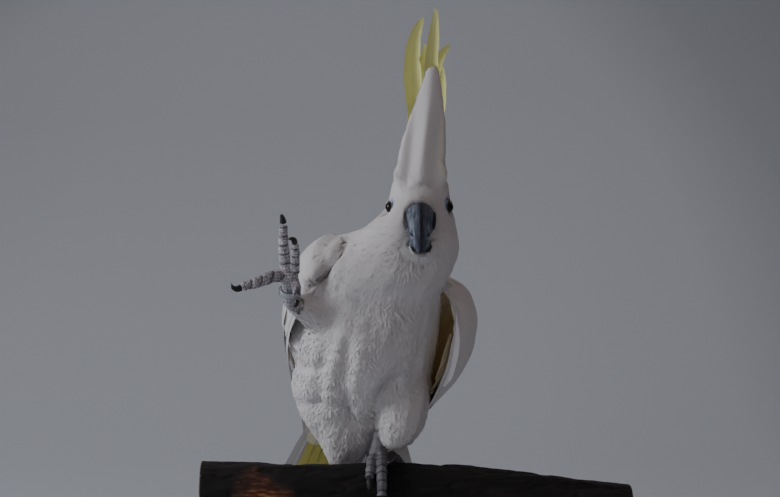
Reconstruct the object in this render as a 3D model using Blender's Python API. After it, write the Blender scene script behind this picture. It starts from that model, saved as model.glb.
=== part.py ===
"""A life-size white cockatoo, its yellow crest raised and one foot lifted, on a cut branch on a stand.

Metres, +Z up. The origin is the middle of the stand's underside. The bird faces -Y, its left side at +X.
Run with: blender --background --python part.py
"""

import bpy
import bmesh
from math import atan2, cos, degrees, exp, pi, radians, sin, sqrt
from mathutils import Vector

# ---- driving dimensions -------------------------------------------------------------------------------

PERCH_TOP = 0.172            # height of the branch's top under the standing foot
PERCH_RADIUS = 0.024
PERCH_START = -0.142         # the sawn end by the lifted foot
PERCH_END = 0.181            # the other sawn end
BASE_SIZE = (0.250, 0.180, 0.014)
ROD_RADIUS = 0.0055
ROD_SPREAD = 0.068           # each rod's distance from the middle
ROD_SOCKET = 0.008           # how deep a rod goes into the base and into the branch
GAP = 0.0003                 # clearance between pieces that touch

TRUNK_MIDDLE = (-0.019, 0.005, 0.084)      # from the branch's top
TRUNK_LEAN = (0.165, -0.600, 0.785)        # from the tail towards the neck
TRUNK_ROLL = radians(14.7)                 # the right shoulder is the higher one

TAIL_BASE = (-0.0245, 0.045, 0.033)        # from the branch's top
TAIL_WAY = (-0.107, 0.550, -0.830)         # from the base to the feathers' ends
TAIL_LENGTH = 0.172
TAIL_BASE_HALF = 0.027
TAIL_FAN_HALF = 0.056        # how much further out the outer feathers' ends are than their roots
TAIL_FEATHERS = 12
EYE_RADIUS = 0.0052

WHITE = (0.86, 0.85, 0.80, 1.0)
YELLOW = (0.83, 0.75, 0.16, 1.0)
SLATE = (0.09, 0.10, 0.12, 1.0)
SCALY_GREY = (0.27, 0.26, 0.27, 1.0)
HORN_BLACK = (0.02, 0.02, 0.02, 1.0)
EYE_BLACK = (0.015, 0.010, 0.008, 1.0)
BARK = (0.07, 0.045, 0.035, 1.0)
STEEL = (0.62, 0.63, 0.65, 1.0)
STAND_BLACK = (0.035, 0.035, 0.04, 1.0)


# ---- small tools --------------------------------------------------------------------------------------

def clear_scene():
    for obj in list(bpy.data.objects):
        bpy.data.objects.remove(obj)


def material(name, colour, roughness, metallic=0.0):
    made = bpy.data.materials.get(name)
    if made is None:
        made = bpy.data.materials.new(name)
        made.use_nodes = True
        shader = made.node_tree.nodes["Principled BSDF"]
        shader.inputs["Base Color"].default_value = colour
        shader.inputs["Roughness"].default_value = roughness
        shader.inputs["Metallic"].default_value = metallic
    return made


def at(x, y, z):
    """A point given from the top of the branch under the standing foot."""
    return Vector((x, y, PERCH_TOP + z))


AXIS = Vector(TRUNK_LEAN).normalized()
LEFT = Vector((cos(TRUNK_ROLL), 0.0, -sin(TRUNK_ROLL)))
LEFT = (LEFT - AXIS * LEFT.dot(AXIS)).normalized()
BACK = AXIS.cross(LEFT)


def body(along, left=0.0, back=0.0):
    """A point given along the trunk's axis from its middle, to the bird's left, and towards its back."""
    return at(*TRUNK_MIDDLE) + AXIS * along + LEFT * left + BACK * back


def through(stations, count):
    """count rows read evenly from a smooth curve through the stations, which are rows of equal length."""
    rows = [tuple(map(float, row)) for row in stations]
    first = tuple(2 * a - b for a, b in zip(rows[0], rows[1]))
    last = tuple(2 * a - b for a, b in zip(rows[-1], rows[-2]))
    rows = [first] + rows + [last]
    spans = len(rows) - 3
    found = []
    for k in range(count):
        place = k * spans / (count - 1)
        span = min(int(place), spans - 1)
        t = place - span
        four = zip(*rows[span:span + 4])
        found.append(tuple(
            b + 0.5 * t * (c - a + t * (2 * a - 5 * b + 4 * c - d + t * (3 * (b - c) + d - a)))
            for a, b, c, d in four
        ))
    return found


def oval(centre, side, front, half_side, half_front, half_back, count):
    """A closed ring of points round centre, with its own depth on the front and on the back."""
    ring = []
    for k in range(count):
        turn = 2 * pi * k / count
        depth = half_front if cos(turn) > 0 else half_back
        ring.append(centre + side * (half_side * sin(turn)) + front * (depth * cos(turn)))
    return ring


def blade(centre, across, outward, half_width, curvature, thickness, count):
    """A closed ring across a feathered blade that bends round its inner side, thick in the middle."""
    outer = []
    inner = []
    for k in range(count + 1):
        share = 2 * k / count - 1
        turn = curvature * half_width * share
        if abs(curvature) < 1e-6:
            point = centre + across * (half_width * share)
        else:
            point = centre + across * (sin(turn) / curvature) + outward * ((cos(turn) - 1) / curvature)
        normal = outward * cos(turn) + across * sin(turn)
        half = 0.5 * thickness * (0.25 + 0.75 * sqrt(max(0.0, 1 - share * share)))
        outer.append(point + normal * half)
        inner.append(point - normal * half)
    return outer + inner[::-1]


def object_from(name, points, faces, made_of):
    """A closed object from its points and faces, with all faces turned outwards."""
    mesh = bpy.data.meshes.new(name)
    mesh.from_pydata([tuple(p) for p in points], [], faces)
    mesh.update()
    shape = bmesh.new()
    shape.from_mesh(mesh)
    bmesh.ops.recalc_face_normals(shape, faces=shape.faces)
    if shape.calc_volume(signed=True) < 0:
        bmesh.ops.reverse_faces(shape, faces=shape.faces)
    shape.to_mesh(mesh)
    shape.free()
    mesh.shade_smooth()
    mesh.set_sharp_from_angle(angle=radians(50))
    mesh.materials.append(made_of)
    obj = bpy.data.objects.new(name, mesh)
    bpy.context.scene.collection.objects.link(obj)
    return obj


def loft(name, rings, made_of, first_tip=None, last_tip=None):
    """A closed skin over the rings. An end is flat, or runs to a tip."""
    count = len(rings[0])
    points = [p for ring in rings for p in ring]
    faces = []
    for r in range(len(rings) - 1):
        for k in range(count):
            a = r * count + k
            b = r * count + (k + 1) % count
            faces.append((a, b, b + count, a + count))
    for tip, row in ((first_tip, 0), (last_tip, len(rings) - 1)):
        start = row * count
        if tip is None:
            for k in range(count // 2 - 1):
                faces.append((start + k, start + k + 1, start + count - 2 - k, start + count - 1 - k))
            continue
        points.append(Vector(tip))
        end = len(points) - 1
        for k in range(count):
            faces.append((start + k, start + (k + 1) % count, end))
    return object_from(name, points, faces, made_of)


def tube(name, stations, count, sides, made_of, swell=None, first_tip=None, last_tip=None):
    """A loft along a smooth path. Each station is x, y, z, half width and half height."""
    rows = through(stations, count)
    points = [Vector(row[:3]) for row in rows]
    rings = []
    side = None
    for k, row in enumerate(rows):
        ahead = points[min(k + 1, count - 1)] - points[max(k - 1, 0)]
        ahead.normalize()
        if side is None:
            side = ahead.orthogonal().normalized()
        side = (side - ahead * side.dot(ahead)).normalized()
        up = ahead.cross(side)
        factor = swell(k / (count - 1)) if swell else 1.0
        rings.append(oval(points[k], side, up, row[3] * factor, row[4] * factor, row[4] * factor, sides))
    return loft(name, rings, made_of, first_tip, last_tip)


def grown(source, by, name):
    """A hidden copy of source before its own cuts, moved outwards by a clearance, to cut a neighbour with."""
    mesh = source.data.copy()
    shape = bmesh.new()
    shape.from_mesh(mesh)
    shape.normal_update()
    moved = [(v, v.co + v.normal * by) for v in shape.verts]
    for vertex, place in moved:
        vertex.co = place
    shape.to_mesh(mesh)
    shape.free()
    obj = bpy.data.objects.new(name, mesh)
    bpy.context.scene.collection.objects.link(obj)
    obj.hide_render = True
    obj.display_type = "WIRE"
    return obj


def cut(target, *tools):
    """Takes each tool's shape, with a clearance, out of target."""
    for tool in tools:
        cutter = grown(tool, GAP, f"cutter_{target.name}_{tool.name}")
        modifier = target.modifiers.new(f"clear_of_{tool.name}", "BOOLEAN")
        modifier.operation = "DIFFERENCE"
        modifier.solver = "EXACT"
        modifier.object = cutter
    bpy.context.view_layer.update()


# ---- stand and perch ----------------------------------------------------------------------------------

def make_stand_base():
    """A flat plate with round ends and a small bevel, on the floor."""
    length, width, height = BASE_SIZE
    radius = width / 2
    shape = bmesh.new()
    outline = []
    corner_steps = 8
    for sign in (1, -1):
        for k in range(corner_steps + 1):
            turn = -pi / 2 + pi * k / corner_steps
            x = (length / 2 - radius) + radius * cos(turn)
            outline.append(shape.verts.new((sign * x, sign * radius * sin(turn), 0.0)))
    face = shape.faces.new(outline)
    raised = bmesh.ops.extrude_face_region(shape, geom=[face])
    for vertex in [g for g in raised["geom"] if isinstance(g, bmesh.types.BMVert)]:
        vertex.co.z = height
    bmesh.ops.recalc_face_normals(shape, faces=shape.faces)
    mesh = bpy.data.meshes.new("stand_base")
    shape.to_mesh(mesh)
    shape.free()
    mesh.materials.append(material("stand_lacquer", STAND_BLACK, 0.35))
    obj = bpy.data.objects.new("stand_base", mesh)
    bpy.context.scene.collection.objects.link(obj)
    bevel = obj.modifiers.new("edge", "BEVEL")
    bevel.width = 0.002
    bevel.segments = 1
    bevel.limit_method = "ANGLE"
    return obj


def perch_centre(x):
    """The branch's axis: level by the lifted foot, sinking towards its other end."""
    sink = 0.0135 * max(0.0, (x - 0.03) / 0.15) ** 1.3
    return Vector((x, 0.003 * sin(x * 22), PERCH_TOP - PERCH_RADIUS - sink))


def make_perch():
    """A cut length of branch with sawn ends, slightly bent, tapering to one end, with low knots."""
    knots = ((-0.085, 2.4, 0.0030), (0.060, 0.6, 0.0026), (0.128, 1.9, 0.0030))
    stations = 17
    sides = 14
    rings = []
    for k in range(stations):
        share = k / (stations - 1)
        x = PERCH_START + (PERCH_END - PERCH_START) * share
        centre = perch_centre(x)
        taper = 1.03 - 0.15 * share
        ring = []
        for j in range(sides):
            turn = 2 * pi * j / sides
            radius = PERCH_RADIUS * taper
            # Bark ridges run along the branch, and fade out under the standing foot.
            near_foot = exp(-((x + 0.006) / 0.028) ** 2)
            rough = 0.0007 * sin(5 * turn + 31 * x) + 0.0005 * sin(9 * turn - 57 * x + 1.3)
            radius += rough * (1 - near_foot)
            radius = radius * (1 - near_foot) + PERCH_RADIUS * near_foot
            for knot_x, knot_turn, height in knots:
                apart = atan2(sin(turn - knot_turn), cos(turn - knot_turn)) * PERCH_RADIUS
                radius += height * exp(-((x - knot_x) ** 2 + apart ** 2) / 0.011 ** 2)
            ring.append(centre + Vector((0, radius * sin(turn), radius * cos(turn))))
        rings.append(ring)
    return loft("perch", rings, material("bark", BARK, 0.85))


def make_rod(name, x):
    """A round steel rod let into the base and into the branch."""
    low = BASE_SIZE[2] - ROD_SOCKET
    high = perch_centre(x).z - PERCH_RADIUS + ROD_SOCKET
    sides = 12
    y = perch_centre(x).y
    rings = [
        oval(Vector((x, y, z)), Vector((1, 0, 0)), Vector((0, 1, 0)), *[ROD_RADIUS] * 3, sides)
        for z in (low, high)
    ]
    return loft(name, rings, material("rod_steel", STEEL, 0.3, 1.0))


# ---- trunk, neck and head -----------------------------------------------------------------------------

BODY_SIDES = 18

# Along the axis, to the left, then half width, depth of the belly side, depth of the back side.
TRUNK_STATIONS = (
    (-0.093, -0.002, 0.016, 0.017, 0.010),
    (-0.080, -0.003, 0.028, 0.026, 0.017),
    (-0.057, -0.003, 0.0425, 0.036, 0.027),
    (-0.028, -0.002, 0.0525, 0.046, 0.037),
    (0.004, 0.000, 0.0535, 0.051, 0.042),
    (0.034, 0.000, 0.0515, 0.050, 0.042),
    (0.060, 0.000, 0.0480, 0.045, 0.039),
    (0.080, 0.000, 0.0440, 0.040, 0.036),
)

# From the branch's top: x, y, z, half width, depth to the front, depth to the back, roll in degrees, pitch in
# degrees of the ring from level.
NECK_STATIONS = (
    (-0.0040, -0.043, 0.1468, 0.0465, 0.0400, 0.0360, 14.7, 37.0),
    (0.0040, -0.050, 0.1560, 0.0437, 0.0375, 0.0340, 11.0, 28.0),
    (0.0105, -0.0555, 0.1650, 0.0388, 0.0345, 0.0325, 7.0, 18.0),
    (0.0157, -0.0590, 0.1740, 0.0334, 0.0310, 0.0310, 4.0, 9.0),
)
HEAD_STATIONS = (
    (0.0157, -0.0590, 0.1740, 0.0334, 0.0310, 0.0310, 4.0, 9.0),
    (0.0192, -0.0605, 0.1820, 0.0281, 0.0270, 0.0300, 2.0, 4.0),
    (0.0210, -0.0605, 0.1900, 0.0238, 0.0255, 0.0290, 0.0, 0.0),
    (0.0215, -0.0600, 0.1985, 0.0218, 0.0245, 0.0270, 0.0, 0.0),
    (0.0217, -0.0590, 0.2065, 0.0190, 0.0215, 0.0230, 0.0, 0.0),
    (0.0220, -0.0580, 0.2130, 0.0140, 0.0160, 0.0160, 0.0, 0.0),
)


def make_trunk():
    rings = []
    for along, left, half, belly, back in through(TRUNK_STATIONS, 12):
        rings.append(oval(body(along, left), LEFT, -BACK, half, belly, back, BODY_SIDES))
    tip = body(TRUNK_STATIONS[0][0] - 0.003)
    return loft("trunk", rings, material("white_plumage", WHITE, 0.75), first_tip=tip)


def level_ring(row):
    """A ring of the neck or head: it faces up, rolled to the side and pitched forward."""
    x, y, z, half, front, back, roll, pitch = row
    side = Vector((cos(radians(roll)), 0, -sin(radians(roll))))
    ahead = Vector((0, -cos(radians(pitch)), -sin(radians(pitch))))
    ahead = (ahead - side * ahead.dot(side)).normalized()
    return oval(at(x, y, z), side, ahead, half, front, back, BODY_SIDES)


def ring_normal(row):
    roll = radians(row[6])
    pitch = radians(row[7])
    return Vector((sin(roll), -sin(pitch), cos(pitch))).normalized()


def make_neck():
    rows = through(NECK_STATIONS, 5)
    rings = [level_ring(row) for row in rows]
    for ring, row, sign in ((rings[0], rows[0], 1), (rings[-1], rows[-1], -1)):
        for point in ring:
            point += ring_normal(row) * (sign * GAP)
    return loft("neck", rings, material("white_plumage", WHITE, 0.75))


def make_head():
    rows = through(HEAD_STATIONS, 11)
    rings = [level_ring(row) for row in rows]
    x, y, z = rows[-1][:3]
    return loft("head", rings, material("white_plumage", WHITE, 0.75), last_tip=at(x, y, z + 0.0035))


HEAD_X = 0.0213
EYE_PLACE = (0.0196, -0.0660, 0.1900)      # from the head's middle plane, and from the branch's top


def make_eye(name, side):
    """A round eye, let into the head with its front third showing."""
    x, y, z = EYE_PLACE
    centre = at(HEAD_X + side * x, y, z)
    rings = []
    steps = 7
    for k in range(1, steps):
        turn = pi * k / steps
        rings.append(oval(
            centre + Vector((side * EYE_RADIUS * cos(turn), 0, 0)), Vector((0, 1, 0)), Vector((0, 0, 1)),
            EYE_RADIUS * sin(turn), EYE_RADIUS * sin(turn), EYE_RADIUS * sin(turn), 10))
    return loft(
        name, rings, material("eye", EYE_BLACK, 0.05),
        first_tip=centre + Vector((side * EYE_RADIUS, 0, 0)),
        last_tip=centre - Vector((side * EYE_RADIUS, 0, 0)))


# ---- bill ---------------------------------------------------------------------------------------------

BILL_HINGE = (HEAD_X, -0.0800, 0.1700)
# Angle forward from straight up, inner and outer radius about the hinge, half width.
UPPER_BILL_STATIONS = (
    (4, 0.0040, 0.0215, 0.0090),
    (28, 0.0040, 0.0262, 0.0106),
    (54, 0.0040, 0.0274, 0.0107),
    (78, 0.0055, 0.0272, 0.0094),
    (98, 0.0095, 0.0257, 0.0068),
    (114, 0.0135, 0.0240, 0.0046),
    (125, 0.0165, 0.0224, 0.0027),
)
HOOK_ANGLE = radians(131)    # where the hook's point is about the hinge
HOOK_RADIUS = 0.0200


def make_upper_bill():
    """The deep hooked upper bill: rings turn about the jaw's hinge, from the forehead down to the hook."""
    hinge = at(*BILL_HINGE)
    rings = []
    for angle, inner, outer, half in through(UPPER_BILL_STATIONS, 11):
        out = Vector((0, -sin(radians(angle)), cos(radians(angle))))
        middle = hinge + out * ((inner + outer) / 2)
        rings.append(oval(middle, Vector((1, 0, 0)), out, half, (outer - inner) / 2, (outer - inner) / 2, 14))
    tip = hinge + Vector((0, -sin(HOOK_ANGLE), cos(HOOK_ANGLE))) * HOOK_RADIUS
    return loft("bill_upper", rings, material("bill_horn", SLATE, 0.4), last_tip=tip)


def make_lower_bill():
    """The short cupped lower bill, behind the hook."""
    stations = (
        (-0.070, 0.1620, 0.0085, 0.0070),
        (-0.079, 0.1612, 0.0090, 0.0070),
        (-0.086, 0.1628, 0.0084, 0.0056),
        (-0.0905, 0.1660, 0.0068, 0.0034),
    )
    rings = []
    for y, z, half, deep in through(stations, 6):
        lift = Vector((0, -0.35, 1)).normalized()
        rings.append(oval(at(HEAD_X, y, z), Vector((1, 0, 0)), lift, half, deep * 0.45, deep, 12))
    return loft("bill_lower", rings, material("bill_horn", SLATE, 0.4), last_tip=at(HEAD_X, -0.0922, 0.1680))


# ---- crest --------------------------------------------------------------------------------------------

# From the branch's top: x, y, z, half width, half depth.
CREST_FRONT_STATIONS = (
    (0.0217, -0.0745, 0.2010, 0.0172, 0.0060),
    (0.0218, -0.0745, 0.2130, 0.0186, 0.0066),
    (0.0230, -0.0730, 0.2290, 0.0180, 0.0062),
    (0.0256, -0.0710, 0.2460, 0.0150, 0.0054),
    (0.0278, -0.0700, 0.2620, 0.0118, 0.0044),
    (0.0298, -0.0700, 0.2800, 0.0072, 0.0031),
    (0.0308, -0.0705, 0.2900, 0.0046, 0.0020),
)


def make_crest_front():
    """The long white forehead feathers, closed up like a tapering plume in front of the yellow ones."""
    rings = []
    for x, y, z, half, deep in through(CREST_FRONT_STATIONS, 8):
        rings.append(oval(at(x, y, z), Vector((1, 0, 0)), Vector((0, -1, 0)), half, deep, deep * 0.6, 12))
    tip = at(0.0310, -0.0708, 0.2940)
    return loft("crest_front", rings, material("white_plumage", WHITE, 0.75), last_tip=tip)


PLUME_BEND_RADIUS = 1 / 190  # of the trough across each plume


def plume(name, root, lean_left, lean_back, length, half_width, tip_left, curl_forward):
    """One crest feather: a trough-shaped blade that rises from its root, leans to a side and curls forward."""
    steps = 9
    points = []
    for k in range(steps + 1):
        share = k / steps
        rise = length * share
        curl = curl_forward * share ** 2.6 * length
        points.append(Vector((
            root[0] + rise * sin(lean_left) + tip_left * share ** 6,
            root[1] + rise * sin(lean_back) - curl,
            root[2] + rise * cos(lean_back) * cos(lean_left) - 0.35 * curl * share,
        )))
    rings = []
    for k in range(steps):
        share = k / steps
        ahead = (points[k + 1] - points[max(k - 1, 0)]).normalized()
        across = Vector((1, 0, 0))
        across = (across - ahead * across.dot(ahead)).normalized()
        front = across.cross(ahead)
        wide = half_width * (0.35 + 0.65 * sin(pi * min(1.0, 0.12 + share * 0.74)) ** 0.8)
        thick = 0.0026 - 0.0012 * share
        rings.append(blade(at(*points[k]), across, -front, wide, 1 / PLUME_BEND_RADIUS, thick, 4))
    return loft(name, rings, material("yellow_plumage", YELLOW, 0.7), last_tip=at(*points[steps]))


# Name, root from the branch's top, lean to the left and to the back in degrees, length, half the width of its
# web along the trough, how far the tip turns to the left, curl.
CREST_PLUMES = (
    ("crest_plume_1", (0.0240, -0.0655, 0.2190), 4.6, -1.0, 0.1160, 0.0049, 0.000, 0.05),
    ("crest_plume_2", (0.0225, -0.0605, 0.2170), -5.6, 3.0, 0.1140, 0.0062, 0.013, 0.10),
    ("crest_plume_3", (0.0235, -0.0560, 0.2170), 5.0, 8.0, 0.0960, 0.0055, 0.012, 0.12),
    ("crest_plume_4", (0.0215, -0.0520, 0.2160), 2.6, 16.0, 0.1020, 0.0057, 0.000, 0.14),
    ("crest_plume_5", (0.0295, -0.0470, 0.2110), 5.0, 26.0, 0.1000, 0.0062, 0.000, 0.16),
    ("crest_plume_6", (0.0180, -0.0420, 0.2090), 1.0, 37.0, 0.0960, 0.0060, 0.000, 0.18),
    ("crest_plume_7", (0.0230, -0.0370, 0.2060), 3.0, 48.0, 0.0860, 0.0057, 0.000, 0.20),
)


def make_crest_plumes():
    made = []
    for name, root, left, back, length, half, tip_left, curl in CREST_PLUMES:
        made.append(plume(name, root, radians(left), radians(back), length, half, tip_left, curl))
    return made


# ---- wings and tail -----------------------------------------------------------------------------------

# Along the trunk's axis; the blade's middle to the side and to the back; the way it faces, in degrees from
# sideways towards the back; half its arc; its bend radius; its thickness.
RIGHT_WING_STATIONS = (
    (0.085, 0.0440, 0.012, 18, 0.006, 0.040, 0.0060),
    (0.077, 0.0495, 0.015, 21, 0.020, 0.040, 0.0100),
    (0.060, 0.0545, 0.021, 27, 0.038, 0.044, 0.0120),
    (0.030, 0.0550, 0.027, 33, 0.051, 0.047, 0.0115),
    (0.000, 0.0500, 0.029, 37, 0.050, 0.047, 0.0095),
    (-0.030, 0.0385, 0.031, 42, 0.043, 0.046, 0.0080),
    (-0.060, 0.0270, 0.029, 49, 0.030, 0.048, 0.0064),
    (-0.090, 0.0175, 0.0245, 58, 0.022, 0.058, 0.0050),
    (-0.120, 0.0130, 0.0190, 68, 0.017, 0.080, 0.0040),
    (-0.150, 0.0105, 0.0130, 76, 0.012, 0.120, 0.0030),
    (-0.176, 0.0090, 0.0085, 80, 0.006, 0.160, 0.0022),
)
# How far the left wing stands off further than the right one, at the same places along the axis.
LEFT_WING_STAND_OFF = (
    0.003, 0.006, 0.011, 0.015, 0.012, 0.005, 0.002, 0.001, 0.001, 0.001, 0.000,
)
LEFT_WING_DROP = 0.013       # how much further down the trunk the left wing lies
# How much further each wing reaches round in front than its blade, at the same places along the axis.
RIGHT_WING_WRAP = (0.020, 0.021, 0.016, 0.004, 0.001, 0.0, 0.0, 0.0, 0.0, 0.0, 0.0)
LEFT_WING_WRAP = (0.004, 0.006, 0.008, 0.009, 0.009, 0.006, 0.003, 0.0, 0.0, 0.0, 0.0)
WING_SPLIT = -0.048          # where the arm's coverts end and the long flight feathers begin


def wing_rows(side):
    """The wing's stations, each arc lengthened towards the front by its wrap."""
    rows = []
    wraps = LEFT_WING_WRAP if side > 0 else RIGHT_WING_WRAP
    for row, stand_off, wrap in zip(RIGHT_WING_STATIONS, LEFT_WING_STAND_OFF, wraps):
        along, out, back, faces, half, bend, thick = row
        if side > 0:
            along = along - LEFT_WING_DROP
            out = out + stand_off
        turn = -wrap / 2 / bend
        sideways = bend * sin(turn)
        inwards = bend * (cos(turn) - 1)
        out += inwards * cos(radians(faces)) - sideways * sin(radians(faces))
        back += sideways * cos(radians(faces)) + inwards * sin(radians(faces))
        rows.append((along, out, back, faces + degrees(turn), half + wrap / 2, 1 / bend, thick))
    return through(rows, 15)


def wing_ring(row, side, shift=0.0):
    along, out, back, faces, half, curvature, thick = row
    outward = LEFT * (side * cos(radians(faces))) + BACK * sin(radians(faces))
    across = LEFT * (-side * sin(radians(faces))) + BACK * cos(radians(faces))
    return blade(body(along + shift, side * out, back), across, outward, half, curvature, thick, 6)


def make_wing(word, side):
    """The folded wing in two pieces: the arm with its coverts in front, the flight feathers behind."""
    rows = wing_rows(side)
    front = [row for row in rows if row[0] >= WING_SPLIT]
    rear = [row for row in rows if row[0] < WING_SPLIT]
    white = material("white_plumage", WHITE, 0.75)
    cap = body(front[0][0] + 0.003, side * front[0][1], front[0][2])
    arm = loft(f"wing_{word}_arm", [wing_ring(row, side) for row in front], white, first_tip=cap)
    meeting = front[-1]
    rings = [wing_ring(meeting, side, shift=-GAP)] + [wing_ring(row, side) for row in rear]
    end = rear[-1]
    tip = body(end[0] - 0.006, side * end[1] * 0.95, end[2])
    flight = loft(f"wing_{word}_flight", rings, white, last_tip=tip)
    return arm, flight


def make_tail():
    """Twelve broad feathers spread in a low arched fan, each lapping the next like slates."""
    way = Vector(TAIL_WAY).normalized()
    across = Vector((-way.z, 0.0, way.x)).normalized()
    upper = across.cross(way)
    if upper.y < 0:
        upper = -upper
    points_per_feather = 2
    count = TAIL_FEATHERS * points_per_feather
    rings = []
    for share in (0.0, 0.2, 0.5, 0.8, 1.0):
        top = []
        under = []
        for j in range(count + 1):
            side = 2 * j / count - 1
            within = (j % points_per_feather) / points_per_feather
            round_end = 0.012 * (1 - within * 2) + 0.022 * side * side
            reach = (TAIL_LENGTH - round_end) * share
            out = TAIL_BASE_HALF + TAIL_FAN_HALF * share ** 0.8
            arch = 0.009 * (1 - side * side) * (1 - 0.4 * share)
            half = 0.0021 * (1 - share) + 0.0008
            middle = at(*TAIL_BASE) + way * reach + across * (side * out) + upper * arch
            top.append(middle + upper * half)
            under.append(middle - upper * half)
        rings.append(top + under[::-1])
    return loft("tail", rings, material("white_plumage", WHITE, 0.75))


# ---- legs and feet ------------------------------------------------------------------------------------

# Each thigh from inside the trunk down to the ankle: x, y, z from the branch's top, half width, half depth.
LEFT_THIGH = (
    (0.0080, 0.012, 0.078, 0.0220, 0.0240),
    (0.0087, 0.002, 0.058, 0.0218, 0.0240),
    (0.0078, -0.003, 0.044, 0.0212, 0.0225),
    (0.0062, -0.003, 0.031, 0.0196, 0.0205),
    (0.0013, -0.001, 0.0213, 0.0152, 0.0150),
    (-0.0062, 0.000, 0.0163, 0.0083, 0.0078),
)
RIGHT_THIGH = (
    (-0.028, -0.022, 0.098, 0.0250, 0.0250),
    (-0.043, -0.036, 0.108, 0.0190, 0.0190),
    (-0.055, -0.047, 0.1145, 0.0135, 0.0140),
    (-0.064, -0.055, 0.1175, 0.0096, 0.0100),
    (-0.070, -0.061, 0.1190, 0.0066, 0.0068),
)


def world_path(stations):
    return [tuple(at(*row[:3])) + tuple(row[3:]) for row in stations]


def pads(count, depth):
    """The swellings of a toe's joints, and the narrowing between them."""
    return lambda share: 1.0 + depth * cos(2 * pi * count * share)


def make_toe(name, stations, pad_count, claw_stations):
    """A toe with its pads, and its claw as a piece of its own that starts where the toe ends."""
    toe = tube(
        f"{name}_toe", world_path(stations), 3 * pad_count + 1, 8, material("scaly_skin", SCALY_GREY, 0.7),
        swell=pads(pad_count, 0.07))
    rows = world_path(claw_stations)
    start = Vector(rows[0][:3])
    ahead = (Vector(rows[1][:3]) - start).normalized()
    moved = [tuple(start + ahead * 0.0009) + rows[0][3:]] + rows[1:-1]
    claw = tube(
        f"{name}_claw", moved, 5, 6, material("claw_horn", HORN_BLACK, 0.3), last_tip=Vector(rows[-1][:3]))
    return toe, claw


def on_perch(angle, x, lift):
    """A point over the branch: angle runs from its top to the front, lift is the height over the bark."""
    centre = perch_centre(x)
    out = Vector((0, -sin(radians(angle)), cos(radians(angle))))
    point = centre + out * (PERCH_RADIUS + lift)
    return (point.x, point.y, point.z - PERCH_TOP)


CLAW_SWEEP = 22.95           # degrees of the branch that a claw covers


def gripping_toe(name, x_root, x_tip, first_angle, last_angle, radius, pad_count):
    """A toe laid round the branch, and its claw bent down onto the bark."""
    steps = 5
    stations = []
    for k in range(steps):
        share = k / (steps - 1)
        angle = first_angle + (last_angle - first_angle) * share
        thick = radius * (1.0 - 0.22 * share)
        place = on_perch(angle, x_root + (x_tip - x_root) * share, thick * 0.88)
        stations.append(place + (thick, thick * 0.95))
    claw = []
    turn = 1 if last_angle > 0 else -1
    for share, thick in ((0.0, 0.0025), (0.35, 0.0024), (0.7, 0.0015), (1.0, 0.0)):
        lift = 0.0034 + 0.0018 * sin(pi * share) - 0.0026 * share ** 2
        place = on_perch(last_angle + turn * (3.0 + CLAW_SWEEP * share), x_tip, lift)
        claw.append(place + (thick, thick))
    return make_toe(name, stations, pad_count, claw)


def make_left_foot():
    """The standing foot: two toes over the front of the branch and two behind, as parrots grip."""
    shank = tube(
        "foot_left_shank",
        world_path((
            (-0.0070, 0.0010, 0.0225, 0.0048, 0.0050),
            (-0.0078, 0.0006, 0.0160, 0.0052, 0.0054),
            (-0.0084, -0.0002, 0.0110, 0.0058, 0.0060),
            (-0.0086, -0.0006, 0.0072, 0.0072, 0.0070),
            (-0.0088, -0.0006, 0.0032, 0.0068, 0.0064),
        )), 6, 10, material("scaly_skin", SCALY_GREY, 0.7))
    toes = [
        gripping_toe("foot_left_front_outer", -0.0066, -0.0060, 12, 88, 0.0047, 4),
        gripping_toe("foot_left_front_inner", -0.0128, -0.0152, 12, 58, 0.0043, 3),
        gripping_toe("foot_left_rear_outer", 0.0008, 0.0150, -12, -80, 0.0046, 4),
        gripping_toe("foot_left_rear_inner", -0.0145, -0.0200, -12, -52, 0.0038, 2),
    ]
    return shank, toes


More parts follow.
